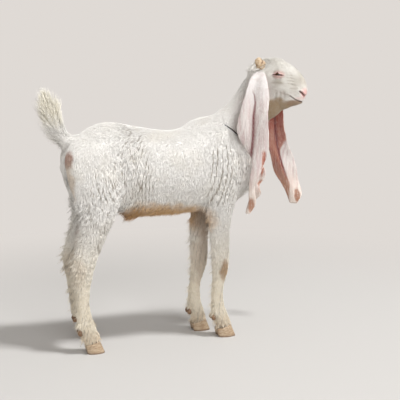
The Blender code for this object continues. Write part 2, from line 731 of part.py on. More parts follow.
def build():
    clear_scene()
    goat = new_collection("goat")
    cutters = new_collection("cutters")
    pieces = flesh_pieces(goat, cutters)
    scrotum = loft("scrotum", SCROTUM, goat, rings=7, sides=8)
    neighbours = [pieces[name] for name in ("trunk", "hindleg_right_thigh", "hindleg_left_thigh")]
    cut_away(scrotum, [inflated("scrotum_seat", piece, GAP, cutters) for piece in neighbours])
    pieces["scrotum"] = scrotum
    head = pieces["head"]
    for word, side in SIDES.items():
        pieces[f"eye_{word}"] = eye(f"eye_{word}", side, goat)
        cut_away(head, [inflated("socket", pieces[f"eye_{word}"], GAP, cutters)])
    for word, side in SIDES.items():
        bud = horn_bud(f"horn_bud_{word}", side, head, goat, cutters)
        leaf = ear(f"ear_{word}", *EARS[word], goat)
        cut_away(leaf, [inflated("ear_seat", piece, GAP, cutters) for piece in (head, bud)])
        pieces[f"horn_bud_{word}"] = bud
        pieces[f"ear_{word}"] = leaf
        for limb in STRIDE:
            pastern = pieces[f"{limb}leg_{word}_pastern"]
            for place in ("inner", "outer"):
                inner = place == "inner"
                claw_name = f"hoof_{limb}_{word}_{place}"
                pieces[claw_name] = claw(claw_name, limb, side, inner, goat, cutters)
                button = f"dewclaw_{limb}_{word}_{place}"
                pieces[button] = dewclaw(button, limb, side, inner, pastern, goat, cutters)
    coat = new_material("white_coat", (0.80, 0.77, 0.72), 0.8)
    horn = new_material("horn", (0.42, 0.30, 0.17), 0.5)
    wet_eye = new_material("eye", (0.05, 0.03, 0.02), 0.1)
    cord = new_material("black_cord", (0.02, 0.02, 0.02), 0.7)
    for name, obj in pieces.items():
        horny = name.startswith(("hoof", "dewclaw", "horn"))
        material = horn if horny else wet_eye if name.startswith("eye") else coat
        obj.data.materials.clear()
        obj.data.materials.append(cord if name == "collar" else material)
    stand_on_origin(pieces)


def stand_on_origin(pieces):
    """Move every piece so that the middle of the whole underside is the origin."""
    corners = [vertex.co for obj in pieces.values() for vertex in obj.data.vertices]
    low = [min(corner[axis] for corner in corners) for axis in range(3)]
    high = [max(corner[axis] for corner in corners) for axis in range(3)]
    shift = Matrix.Translation((-(low[0] + high[0]) / 2, -(low[1] + high[1]) / 2, -low[2]))
    for obj in pieces.values():
        obj.data.transform(shift)


build()
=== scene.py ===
"""Looks of the standing goat kid: one skin, a coat of solid tufts, eyes, horn buds, hooves and neck cord.

+X is forward, +Y the goat's left, +Z up, and the floor lies at Z = 0. Lengths are in metres.
"""
import json
import math

import bmesh
import bpy
import numpy as np
from mathutils import Matrix, Vector
from mathutils.bvhtree import BVHTree
from mathutils.kdtree import KDTree

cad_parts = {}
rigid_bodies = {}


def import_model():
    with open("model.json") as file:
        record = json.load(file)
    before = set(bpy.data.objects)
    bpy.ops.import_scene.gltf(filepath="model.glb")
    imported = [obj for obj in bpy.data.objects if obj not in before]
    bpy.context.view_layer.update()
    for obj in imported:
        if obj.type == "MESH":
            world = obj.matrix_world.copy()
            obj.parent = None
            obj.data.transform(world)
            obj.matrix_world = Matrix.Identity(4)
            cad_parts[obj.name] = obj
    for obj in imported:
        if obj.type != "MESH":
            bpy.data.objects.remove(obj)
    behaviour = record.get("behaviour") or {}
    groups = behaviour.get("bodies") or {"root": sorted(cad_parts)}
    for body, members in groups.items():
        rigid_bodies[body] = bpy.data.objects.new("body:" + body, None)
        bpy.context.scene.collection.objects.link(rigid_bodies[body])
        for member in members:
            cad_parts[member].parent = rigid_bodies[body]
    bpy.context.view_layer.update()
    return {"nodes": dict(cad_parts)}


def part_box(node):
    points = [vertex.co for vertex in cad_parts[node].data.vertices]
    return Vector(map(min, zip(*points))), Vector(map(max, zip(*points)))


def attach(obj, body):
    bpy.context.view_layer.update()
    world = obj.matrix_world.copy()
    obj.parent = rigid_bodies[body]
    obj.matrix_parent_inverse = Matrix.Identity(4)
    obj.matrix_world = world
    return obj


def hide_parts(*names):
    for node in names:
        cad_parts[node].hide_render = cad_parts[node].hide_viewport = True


for leftover in list(bpy.data.objects):
    bpy.data.objects.remove(leftover, do_unlink=True)
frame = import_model()

# ---------------------------------------------------------------- driving values, in metres
SEAL = 0.0005            # how far each piece of flesh swells to close the gaps between pieces
COARSE = 0.0040          # grain of the body before it is refined
FINE = 0.0016            # grain of the skin
SKIN_FACES = 290000
HEAD_YAW = math.radians(-36)
EYE_RADIUS = 0.0125
EYE_PLACE = (0.057, 0.0335, 0.003)      # in the head's frame: forward, out, up
COAT_PIECES = 8
PATCH = 0.003            # width of a tuft's patch on the bake map
OVERSOWN = 2.6           # tufts sown for each one of the spacing, before they are thinned
LASHES = 26              # on each upper lid
FRINGE = 110             # tufts round each horn bud
PALENESS = 0.20          # how far a tuft's colour goes towards white
PALENESS_SPREAD = 0.11
RANDOM = np.random.default_rng(7)

LOCK_DEPTH = 0.0022      # how much deeper the coat is where it falls in curly locks
WAVELENGTH = 0.0210      # from one swing of a lock to the next
SWING = 0.0011           # how far a lock swings aside
PARTINGS = 0.0094        # from one parting between locks to the next
BACKWARD = 0.14          # how far the hair of the sides leans back for each metre down
BODY_PASSES = 24         # of smoothing, which wear off the facets of the solids
SKIN_PASSES = 6
CORD_POINTS = 48         # on the neck cord's rough path
CORD_RINGS = 720
CORD_STRANDS = 3
CORD_TURNS = 64          # of each strand about the cord's middle
CORD_SIDES = 6           # of a strand
STRAND_OFFSET = 0.00085  # from the cord's middle to a strand's
STRAND_RADIUS = 0.00095
FLOOR_RADIUS = 12.0
WALL_RADIUS = 20.0
WORLD_STRENGTH = 0.6
CAMERA_PLACE = (-0.5564, -1.8612, 0.650)
CAMERA_LENS = 66.6       # in millimetres, on a 36 mm sensor
CAMERA_PITCH = -8.02     # in degrees
CAMERA_YAW = -18.0
# Lights: the way towards it from the goat's middle, distance, width, power in watts
LIGHTS = {
    "key": ((0.33, -0.27, 0.90), 7.0, 0.9, 410.0),
    "fill": ((0.00, -1.00, 0.42), 7.0, 4.5, 270.0),
}

head_spin = Matrix.Rotation(HEAD_YAW, 3, "Z")
right_eye = sum(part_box("eye_right"), Vector()) / 2
HEAD_ORIGIN = np.array(right_eye - head_spin @ Vector((EYE_PLACE[0], -EYE_PLACE[1], EYE_PLACE[2])))
HEAD_TURN = np.array(head_spin)
FLESH = [name for name in frame["nodes"]
         if name.startswith(("trunk", "neck", "head", "tail", "scrotum", "ear_", "foreleg", "hindleg"))]
EARS = [index for index, name in enumerate(FLESH) if name.startswith("ear_")]

# Coat by piece of flesh: its depth, then the tufts' length, width and spacing, all in millimetres,
# and how much they wave and gather in locks, from 0 to 1
COAT = {
    "trunk": (2.6, 13.0, 1.3, 2.7, 0.1, 0.1),
    "neck": (3.2, 15.0, 1.3, 2.8, 0.4, 0.5),
    "head": (1.0, 5.2, 0.7, 2.1, 0.4, 0.5),
    "tail": (9.0, 32.0, 1.3, 3.2, 0.8, 0.8),
    "scrotum": (1.0, 4.0, 0.9, 3.0, 0.1, 0.1),
    "ear": (0.3, 3.0, 0.6, 3.6, 0.1, 0.1),
    "upper": (3.4, 14.0, 1.3, 2.8, 0.6, 0.2),
    "thigh": (3.6, 17.0, 1.5, 3.0, 0.6, 0.1),
    "gaskin": (3.4, 14.0, 1.3, 2.8, 0.9, 0.1),
    "cannon": (2.4, 9.5, 1.3, 2.5, 0.5, 0.5),
    "pastern": (2.8, 12.5, 1.3, 2.5, 0.3, 0.5),
}
# Where the coat falls in curly locks: its middle forward and up, its half widths, and how strongly
CURLY = {
    "shoulder": (0.100, 0.440, 0.072, 0.110, 1.0),
    "flank": (-0.145, 0.465, 0.060, 0.120, 1.0),
    "ribs": (-0.030, 0.410, 0.160, 0.080, 0.40),
    "thigh": (-0.218, 0.385, 0.070, 0.120, 1.0),
    "breast": (0.160, 0.420, 0.060, 0.090, 1.0),
}


# ---------------------------------------------------------------- number helpers
def smoothstep(low, high, value):
    share = np.clip((value - low) / (high - low), 0, 1)
    return share * share * (3 - 2 * share)


def unit(vectors):
    return vectors / np.maximum(np.linalg.norm(vectors, axis=-1, keepdims=True), 1e-12)


def hump(value, width):
    """1 where the value is 0, falling off smoothly to both sides."""
    return np.exp(-(value / width) ** 2)


def apart(points, spot):
    """How far each point lies from one spot."""
    return np.linalg.norm(points - np.array(spot), axis=1)


def mirrored(spot, side):
    """A spot given for the head's left side, on its left for side 1 or its right for side -1."""
    return np.array([spot[0], side * spot[1], spot[2]])


def noise(points, size, seed):
    """Smooth random values from -1 to 1, with lumps of the given size (one number, or one per axis)."""
    cell = points / np.asarray(size, dtype=float)
    base = np.floor(cell).astype(np.int64)
    part = cell - base
    part = part * part * (3 - 2 * part)
    total = np.zeros(len(points))
    for corner in range(8):
        step = np.array([corner & 1, corner >> 1 & 1, corner >> 2 & 1])
        key = (base + step) @ np.array([73856093, 19349663, 83492791]) + seed * 2654435761
        key = (key ^ (key >> 13)) * 1274126177 & 0xFFFFFFFF
        key = (key ^ (key >> 16)) * 2246822519 & 0xFFFFFFFF
        share = np.prod(np.where(step, part, 1 - part), axis=1)
        total += share * ((key >> 8 & 0xFFFF) / 32767.5 - 1)
    return total


def in_head(points):
    """Places in the head's frame: forward from its middle, to its left, and up."""
    return (points - HEAD_ORIGIN) @ HEAD_TURN


def from_head(points):
    return np.asarray(points) @ HEAD_TURN.T + HEAD_ORIGIN


def spread_over(edges, values, passes, keep=None, share=0.5):
    """Values smoothed along the edges of a mesh. keep is 1 where they stay as they are."""
    starts, ends = edges.T
    count = len(values)
    flat = values.reshape(count, -1).astype(float)
    links = np.maximum(np.bincount(np.concatenate([starts, ends]), minlength=count), 1)[:, None]
    free = share if keep is None else share * (1 - keep[:, None])
    for _ in range(passes):
        total = np.empty_like(flat)
        for column in range(flat.shape[1]):
            total[:, column] = np.bincount(starts, flat[ends, column], count)
            total[:, column] += np.bincount(ends, flat[starts, column], count)
        flat = flat + free * (total / links - flat)
    return flat.reshape(values.shape)


# ---------------------------------------------------------------- mesh helpers
def rows_of(items, field, width, kind=float):
    """One row of numbers for each item of a mesh."""
    values = np.empty(len(items) * width, dtype=kind)
    items.foreach_get(field, values)
    return values.reshape(-1, width)


def places_of(mesh):
    return rows_of(mesh.vertices, "co", 3)


def place(mesh, places):
    mesh.vertices.foreach_set("co", np.asarray(places).ravel())
    mesh.update()


def normals_of(mesh):
    return rows_of(mesh.vertex_normals, "vector", 3)


def edges_of(mesh):
    return rows_of(mesh.edges, "vertices", 2, int)


def triangles_of(mesh):
    mesh.calc_loop_triangles()
    return rows_of(mesh.loop_triangles, "vertices", 3, int)


def set_values(mesh, label, values):
    """One number for each vertex, for the materials to read."""
    mesh.attributes.new(label, "FLOAT", "POINT").data.foreach_set("value", np.asarray(values, dtype=float))


def mesh_from(name, places, faces):
    """A mesh of faces that all have the same number of corners."""
    faces = np.asarray(faces)
    mesh = bpy.data.meshes.new(name)
    mesh.vertices.add(len(places))
    mesh.vertices.foreach_set("co", np.asarray(places, dtype=float).ravel())
    mesh.loops.add(faces.size)
    mesh.loops.foreach_set("vertex_index", faces.ravel())
    mesh.polygons.add(len(faces))
    mesh.polygons.foreach_set("loop_start", np.arange(len(faces)) * faces.shape[1])
    mesh.update(calc_edges=True)
    return mesh


def shown(name, data, smooth=True):
    """An object of the scene for a mesh, light or camera."""
    obj = bpy.data.objects.new(name, data)
    bpy.context.scene.collection.objects.link(obj)
    if smooth:
        data.shade_smooth()
    return obj


def with_modifier(mesh, kind, **values):
    """A mesh after one modifier. The old mesh goes."""
    obj = shown("work", mesh, smooth=False)
    modifier = obj.modifiers.new("work", kind)
    for key, value in values.items():
        setattr(modifier, key, value)
    graph = bpy.context.evaluated_depsgraph_get()
    made = bpy.data.meshes.new_from_object(obj.evaluated_get(graph))
    bpy.data.objects.remove(obj, do_unlink=True)
    bpy.data.meshes.remove(mesh)
    return made


def edited(mesh, change):
    """A mesh after one change by bmesh."""
    work = bmesh.new()
    work.from_mesh(mesh)
    change(work)
    work.to_mesh(mesh)
    work.free()
    return mesh


def welded(name):
    """A CAD node's places and triangles, with the corners that share a place made one."""
    mesh = frame["nodes"][name].data
    places = places_of(mesh)
    _, first, which = np.unique(np.round(places, 6), axis=0, return_index=True, return_inverse=True)
    triangles = which.ravel()[triangles_of(mesh)]
    whole = (triangles[:, 0] != triangles[:, 1]) & (triangles[:, 1] != triangles[:, 2])
    whole &= triangles[:, 0] != triangles[:, 2]
    return places[first], triangles[whole]


def swollen(name, distance):
    """A CAD node's mesh, moved out along its normals."""
    mesh = mesh_from(name, *welded(name))
    place(mesh, places_of(mesh) + normals_of(mesh) * distance)
    return mesh


def joined(name, meshes):
    work = bmesh.new()
    for mesh in meshes:
        work.from_mesh(mesh)
        bpy.data.meshes.remove(mesh)
    mesh = bpy.data.meshes.new(name)
    work.to_mesh(mesh)
    work.free()
    return mesh


def taubin(mesh, passes, keep=None):
    """Smooths a mesh and keeps its volume."""
    edges = edges_of(mesh)
    places = places_of(mesh)
    for _ in range(passes):
        places = spread_over(edges, places, 1, keep, 0.5)
        places = spread_over(edges, places, 1, keep, -0.52)
    place(mesh, places)


# ---------------------------------------------------------------- which piece of flesh is where
class Atlas:
    """Finds the CAD node nearest to any place."""

    def __init__(self, names):
        places, faces, self.owner = [], [], []
        for index, name in enumerate(names):
            spots, triangles = welded(name)
            faces += (triangles + len(places)).tolist()
            places += spots.tolist()
            self.owner += [index] * len(triangles)
        self.tree = BVHTree.FromPolygons(places, faces)

    def owners(self, places):
        found = [self.tree.find_nearest(spot)[2] for spot in places.tolist()]
        return np.array([self.owner[face] for face in found])


def kind_of(name):
    for kind in COAT:
        if name.startswith(kind) or name.endswith(kind):
            return kind
    raise ValueError(name)


def column(owners, which):
    """One column of the coat table, for each vertex."""
    return np.array([COAT[kind_of(name)][which] for name in FLESH])[owners]


def kinds_of(owners):
    """The kind of flesh at each vertex."""
    return np.array([kind_of(name) for name in FLESH])[owners]


def curly(places):
    """How curly the coat is at each place, from 0 to 1."""
    share = np.zeros(len(places))
    rough = 0.25 * noise(places, 0.030, 64)
    for forward, up, wide, tall, strength in CURLY.values():
        reach = np.hypot((places[:, 0] - forward) / wide, (places[:, 2] - up) / tall) + rough
        share = np.maximum(share, strength * smoothstep(1.1, 0.55, reach))
    return share


# ---------------------------------------------------------------- the skin
def ear_leaf(name):
    """An ear with its facets rounded off."""
    mesh = edited(swollen(name, 0.0003), lambda work: bmesh.ops.join_triangles(
        work, faces=work.faces, angle_face_threshold=0.5, angle_shape_threshold=0.9))
    return with_modifier(mesh, "SUBSURF", levels=2, render_levels=2)


def skin_to_surface(places, owners):
    """How deep the coat is at each place, by the coat table and deeper in curly locks."""
    in_locks = np.isin(kinds_of(owners), ["trunk", "thigh"])
    return column(owners, 0) / 1000 + LOCK_DEPTH * curly(places) * in_locks


# Where the coat of the head has a depth of its own: centre on the left side, radius, depth
HEAD_DEPTHS = [
    ((0.004, 0.046, 0.010), 0.028, 0.0002),      # ear's root
    ((0.006, 0.030, 0.031), 0.019, 0.0026),      # horn bud
    (EYE_PLACE, 0.020, 0.0006),
]


def coat_depth(places, owners, edges):
    """How far the skin lies inside the solids."""
    depth = skin_to_surface(places, owners)
    head = in_head(places)
    for side in (-1, 1):
        for spot, radius, here in HEAD_DEPTHS:
            depth = np.where(apart(head, mirrored(spot, side)) < radius, here, depth)
    depth = np.where(head[:, 0] > 0.108, 0.0008, depth)
    tail_base = smoothstep(0.600, 0.560, places[:, 2]) * (places[:, 0] < -0.28)
    return spread_over(edges, depth * (1 - 0.6 * tail_base), 8)


def bare_body():
    """Everything but the ears, without the facets of the solids, lying inside them by the coat's depth."""
    solid = [name for name in FLESH if not name.startswith("ear_")]
    mesh = joined("body", [swollen(name, SEAL) for name in solid + ["eye_right", "eye_left"]])
    mesh = with_modifier(mesh, "REMESH", mode="VOXEL", voxel_size=COARSE)
    places = places_of(mesh)
    on_tail = (places[:, 0] < -0.285) * (places[:, 2] > 0.53)
    taubin(mesh, BODY_PASSES, 0.75 * on_tail)
    places = places_of(mesh)
    depth = coat_depth(places, atlas.owners(places), edges_of(mesh))
    place(mesh, places - normals_of(mesh) * (depth + SEAL)[:, None])
    taubin(mesh, 2)
    return with_modifier(mesh, "SUBSURF", levels=1, render_levels=1)


def refine(mesh, center, radius):
    """Twice as many faces along each way within a ball."""
    center = Vector(center)

    def split(work):
        near = [edge for edge in work.edges if all((end.co - center).length < radius for end in edge.verts)]
        bmesh.ops.subdivide_edges(work, edges=near, cuts=1, use_grid_fill=True)

    edited(mesh, split)


def along(points, line):
    """For each point: the distance to a polyline and how far along it, from 0 to 1."""
    line = np.asarray(line, dtype=float)
    lengths = np.linalg.norm(np.diff(line, axis=0), axis=1)
    passed = np.concatenate([[0], np.cumsum(lengths)]) / lengths.sum()
    best = np.full(len(points), 1e9)
    share = np.zeros(len(points))
    for start, end, low, high in zip(line[:-1], line[1:], passed[:-1], passed[1:]):
        way = end - start
        t = np.clip((points - start) @ way / (way @ way), 0, 1)
        distance = np.linalg.norm(points - start - t[:, None] * way, axis=1)
        nearer = distance < best
        best = np.where(nearer, distance, best)
        share = np.where(nearer, low + t * (high - low), share)
    return best, share


LID_HALF = 0.0152        # half the length of the slit between the lids
LID_OPEN = 0.0021        # how far the lids stand from the slit's middle
LID_PEAK = 0.0050        # how much higher the upper lid is drawn up over the pupil
UPPER_FOLD = 0.0042      # from the upper lid's edge up to the fold above it
SECOND_FOLD = 0.0074
LOWER_FOLD = 0.0036      # from the lower lid's edge down to the fold below it


def slit_of(x):
    """The slit between the lids: the height of its middle line and how far it opens to each side."""
    t = np.clip(x / LID_HALF, -1, 1)
    middle = 0.0002 - 0.0010 * t
    peak = hump(x + 0.0005, 0.0034)
    upper = (LID_OPEN + LID_PEAK * peak) * (1 - t**4) + 0.0003
    lower = LID_OPEN * np.clip(1 - t * t, 0, 1) ** 0.8
    return middle, upper, lower


def across_lids(head):
    """How far each place lies forward of the eye and above the slit, and how far the slit opens there."""
    x = head[:, 0] - EYE_PLACE[0]
    middle, upper, lower = slit_of(x)
    return x, head[:, 2] - EYE_PLACE[2] - middle, upper, lower


def shape_eye(head, side):
    """Lids that wrap the eyeball, with a slit, a fold above it and a bag below it."""
    x, rise, upper, lower = across_lids(head)
    y = head[:, 2] - EYE_PLACE[2]
    out = side * head[:, 1]
    radius = np.hypot(x, y)
    zone = smoothstep(0.026, 0.017, radius) * (out > 0.02)
    lid = EYE_RADIUS + 0.0013
    dome = EYE_PLACE[1] + np.sqrt(np.maximum(lid**2 - radius**2, 0))
    dome = np.where(radius < lid, dome, 0)
    melt = 0.0010
    blended = np.logaddexp(dome / melt, out / melt) * melt
    inside = np.minimum(upper - rise, rise + lower)
    inside = np.where(np.abs(x) < LID_HALF, inside, -0.002)
    rim = 0.0007 * np.exp(-(inside + 0.0008) ** 2 / 0.0008**2) * (np.abs(x) < LID_HALF + 0.003)
    crease = -0.0017 * hump(rise - upper - UPPER_FOLD, 0.0010) * smoothstep(0.018, 0.011, np.abs(x))
    second = -0.0010 * hump(rise - upper - SECOND_FOLD, 0.0010) * smoothstep(0.016, 0.010, np.abs(x))
    under = -0.0015 * hump(rise + lower + LOWER_FOLD, 0.0009) * smoothstep(0.015, 0.009, np.abs(x))
    bag = 0.0022 * np.exp(-(x / 0.0085) ** 2 - ((rise + 0.0125) / 0.0050) ** 2)
    from_corner = along(np.column_stack([x, y]), [(0.012, 0.000), (0.021, -0.005)])[0]
    tear = -0.0012 * np.exp(-from_corner ** 2 / 0.0011**2)
    surface = blended + rim + crease + second + under + bag + tear
    opened = smoothstep(-0.0002, 0.0005, inside)
    surface = surface - (0.0042 - 0.0026 * smoothstep(0.010, 0.014, np.abs(x))) * opened
    shaped = head.copy()
    shaped[:, 1] = side * (out + zone * (surface - out))
    return shaped


# Lines on the side of the head: forward, up
NOSTRIL = [(0.1115, -0.0395), (0.1170, -0.0435), (0.1210, -0.0495), (0.1235, -0.0565)]
MOUTH = [(0.0870, -0.0505), (0.0930, -0.0555), (0.0990, -0.0597), (0.1100, -0.0645), (0.1260, -0.0675)]
CHEEK_FOLDS = [
    [(0.052, -0.036), (0.050, -0.052), (0.045, -0.066)],
    [(0.062, -0.036), (0.061, -0.050), (0.057, -0.064)],
    [(0.072, -0.038), (0.072, -0.050), (0.070, -0.060)],
]
NOSE_FOLDS = [
    [(0.078, 0.004), (0.088, 0.002), (0.096, -0.002)],
    [(0.079, -0.004), (0.090, -0.006), (0.100, -0.009)],
    [(0.080, -0.011), (0.091, -0.013), (0.101, -0.017)],
    [(0.081, -0.018), (0.092, -0.021), (0.102, -0.025)],
]


def shape_muzzle(head):
    """Nostrils, mouth, and the folds of nose and cheek, as moves along the normals."""
    outline = head[:, [0, 2]]
    beside = smoothstep(0.004, 0.008, np.abs(head[:, 1]))
    move = np.zeros(len(head))
    distance, share = along(outline, NOSTRIL)
    width = 0.0015 + 0.0014 * np.sin(math.pi * np.clip(share, 0, 1))
    move -= 0.0060 * hump(distance, width) * beside
    move += 0.0011 * hump(distance - 0.0042, 0.0018) * beside
    distance, _ = along(outline, MOUTH)
    move -= 0.0026 * hump(distance, 0.0010)
    move += 0.0009 * hump(distance - 0.0036, 0.0020)
    for folds, depth, width in ((CHEEK_FOLDS, 0.0026, 0.0028), (NOSE_FOLDS, 0.0015, 0.0013)):
        for fold in folds:
            distance, share = along(outline, fold)
            move -= depth * hump(distance, width) * np.sin(math.pi * np.clip(share, 0.05, 0.95))
    groove = np.hypot(head[:, 1], np.maximum(0.118 - head[:, 0], 0) * 3)
    split = smoothstep(-0.048, -0.054, head[:, 2]) * smoothstep(-0.070, -0.066, head[:, 2])
    move -= 0.0012 * hump(groove, 0.0012) * split
    return move


CHEEK_GROOVE = [(0.0640, -0.0415), (0.0720, -0.0445), (0.0800, -0.0465), (0.0870, -0.0505)]
NOSE_GROOVE = [(0.0887, -0.0314), (0.1059, -0.0314)]


def line_tint(outline, line, width):
    return hump(along(outline, line)[0], width)


def face_tints(places):
    """For each place: how deep it lies in a fold of the face, which gets painted shade, and how dark the
    painted shade is in nostril, lips or lids.
    """
    head = in_head(places)
    outline = head[:, [0, 2]]
    x, rise, upper, lower = across_lids(head)
    near = smoothstep(0.019, 0.012, np.abs(x))
    broken = smoothstep(-0.5, 0.6, noise(places, 0.006, 71))
    mottled = 0.30 * smoothstep(0.030, 0.010, head[:, 2])
    folds = [
        0.9 * hump(rise - upper - UPPER_FOLD, 0.0010) * near,
        0.6 * hump(rise - upper - SECOND_FOLD, 0.0012) * near,
        0.8 * hump(rise + lower + LOWER_FOLD, 0.0011) * near,
        # Painted shadow below the bag under the eye
        0.7 * hump(rise + 0.0205, 0.0022) * near,
        mottled * smoothstep(0.1, 0.8, noise(places, (0.009, 0.009, 0.004), 72)),
        0.75 * line_tint(outline, CHEEK_GROOVE, 0.0022),
        0.60 * line_tint(outline, NOSE_GROOVE, 0.0016),
    ]
    folds += [0.55 * broken * line_tint(outline, line, 0.0032) for line in CHEEK_FOLDS]
    folds += [0.60 * broken * line_tint(outline, line, 0.0017) for line in NOSE_FOLDS]
    fold = np.maximum.reduce(folds)
    side = smoothstep(0.0035, 0.0070, np.abs(head[:, 1]))
    opened = (rise < upper + 0.0001) & (rise > -lower - 0.0001) & (np.abs(x) < LID_HALF)
    # Near-black painted shade in the nostril, along the mouth and in the slit between the lids
    dark = np.maximum(line_tint(outline, NOSTRIL, 0.0025) * side, 0.85 * line_tint(outline, MOUTH, 0.0019))
    dark = np.maximum(dark, 0.85 * opened)
    on_face = apart(head, [0.060, 0, -0.025]) < 0.100
    return fold * on_face, dark * on_face


# The line down each ear where it is folded, which gets painted shade: forward, up
EAR_SPINES = {
    "ear_right": [(0.1640, 0.672), (0.1700, 0.650), (0.1705, 0.630), (0.1665, 0.596), (0.1650, 0.555),
                  (0.1625, 0.521), (0.1597, 0.495), (0.1556, 0.472), (0.1515, 0.445), (0.1500, 0.420)],
    "ear_left": [(0.2760, 0.640), (0.2775, 0.600), (0.2810, 0.555), (0.2900, 0.510), (0.3010, 0.472),
                 (0.3140, 0.438), (0.3270, 0.404)],
}
# Hollows near an ear's edge and tip that show its inner side, with its painted shade: forward, up, half
# width, half height
EAR_HOLLOWS = {
    "ear_right": [(0.1865, 0.474, 0.0075, 0.042), (0.1850, 0.418, 0.0085, 0.020),
                  (0.1590, 0.368, 0.0095, 0.022)],
    "ear_left": [(0.3490, 0.370, 0.0085, 0.023)],
}


def ear_lines(places, owners):
    """1 along the crease of each ear, and 1 in the hollows at its edge."""
    crease, hollow = np.zeros(len(places)), np.zeros(len(places))
    outline = places[:, [0, 2]]
    for name, line in EAR_SPINES.items():
        on_ear = owners == FLESH.index(name)
        distance, share = along(outline, line)
        width = 0.0011 + 0.0026 * np.sin(math.pi * np.clip(share, 0.02, 0.98)) ** 2
        ends = smoothstep(0.0, 0.10, share) * smoothstep(1.0, 0.85, share)
        crease = np.maximum(crease, hump(distance, width) * ends * on_ear)
        for forward, up, wide, tall in EAR_HOLLOWS[name]:
            reach = np.hypot((places[:, 0] - forward) / wide, (places[:, 2] - up) / tall)
            reach = reach + 0.25 * noise(places, 0.008, 73)
            hollow = np.maximum(hollow, smoothstep(1.10, 0.60, reach) * on_ear)
    return crease, hollow


def sculpt_head(mesh):
    """Lids, nostrils, mouth and folds, on all of the head but the ears."""
    places = places_of(mesh)
    head = in_head(places)
    near = apart(head, [0.060, 0, -0.020]) < 0.12
    near[near] = ~is_ear_place(places[near])
    local = head[near]
    for side in (-1, 1):
        picked = side * local[:, 1] > 0
        local[picked] = shape_eye(local[picked], side)
    places[near] = from_head(local)
    place(mesh, places)
    normals = normals_of(mesh)
    places[near] += normals[near] * shape_muzzle(in_head(places[near]))[:, None]
    place(mesh, places)


def is_ear_place(places):
    """Whether each place belongs to an ear."""
    return np.isin(atlas.owners(places), EARS)


def ear_folds(places, owners):
    """Moves both faces of an ear together, so that it falls in soft lengthwise folds."""
    hanging = np.isin(owners, EARS) * smoothstep(0.700, 0.640, places[:, 2])
    move = np.zeros_like(places)
    for axis in (0, 1):
        broad = noise(places, (0.016, 0.016, 0.090), 11 + axis)
        fine = noise(places, (0.006, 0.006, 0.050), 21 + axis)
        move[:, axis] = 0.0016 * broad + 0.0007 * fine
    return move * hanging[:, None]


def skin_mesh():
    """The whole skin as one mesh, with eyelids, muzzle and the folds of the ears."""
    mesh = joined("skin", [bare_body(), ear_leaf("ear_right"), ear_leaf("ear_left")])
    mesh = with_modifier(mesh, "REMESH", mode="VOXEL", voxel_size=FINE)
    places = places_of(mesh)
    head = in_head(places)
    keep = np.ones(len(places))
    for side in (-1, 1):
        from_root = apart(head, mirrored((-0.002, 0.044, 0.006), side))
        keep = np.minimum(keep, smoothstep(0.014, 0.026, from_root))
    place(mesh, spread_over(edges_of(mesh), places, 14, keep))
    taubin(mesh, SKIN_PASSES, ~is_ear_place(places) * 0.7)
    for side in (-1, 1):
        for _ in range(2):
            refine(mesh, from_head([EYE_PLACE[0], side * 0.044, EYE_PLACE[2]]), 0.021)
    refine(mesh, from_head([0.112, 0, -0.055]), 0.030)
    sculpt_head(mesh)
    places = places_of(mesh)
    owners = atlas.owners(places)
    crease, hollow = ear_lines(places, owners)
    sunk = normals_of(mesh) * (0.0012 * crease + 0.0011 * hollow)[:, None]
    place(mesh, places + ear_folds(places, owners) - sunk)
    faces = len(triangles_of(mesh))
    return with_modifier(mesh, "DECIMATE", ratio=min(1.0, SKIN_FACES / faces))


# ---------------------------------------------------------------- the coat's lie
def sway(places):
    """How far forward a curly lock swings at each place."""
    return np.sin(2 * math.pi * places[:, 2] / WAVELENGTH + 5 * noise(places, 0.035, 61))


def lock_ridges(places):
    """Ridges parted by thin furrows that run along the locks: 0 in a furrow, 1 on a ridge."""
    x, y, z = places.T
    ahead = smoothstep(-0.12, -0.20, x) * smoothstep(0.30, 0.36, z)
    astern = smoothstep(-0.16, -0.20, x) * smoothstep(0.36, 0.30, z)
    lean = BACKWARD * (1 - ahead) * (1 - astern) - 0.40 * ahead + 0.35 * astern
    across = x - lean * z - 0.8 * np.tanh(x / 0.05) * np.abs(y - 0.019)
    warped = np.column_stack([across, 0.5 * y, z])
    wander = 0.55 * noise(warped, (0.040, 0.070, 0.080), 62)
    phase = across / PARTINGS + wander - SWING / PARTINGS * sway(places)
    parting = np.abs(np.sin(math.pi * phase))
    broken = smoothstep(-0.50, 0.00, noise(warped, (0.011, 0.040, 0.070), 63))
    return 1 - (1 - smoothstep(0.15, 0.55, parting)) * broken


# Where the hair lies the same way all over a kind of flesh. Elsewhere it hangs straight down.
FLOWS = {
    "neck": (-0.62, 0.0, -0.80),
    "upper": (-BACKWARD, 0.0, -1.0),
    "gaskin": (-0.30, 0.0, -1.0),
    "tail": (-0.32, 0.0, 1.0),
}


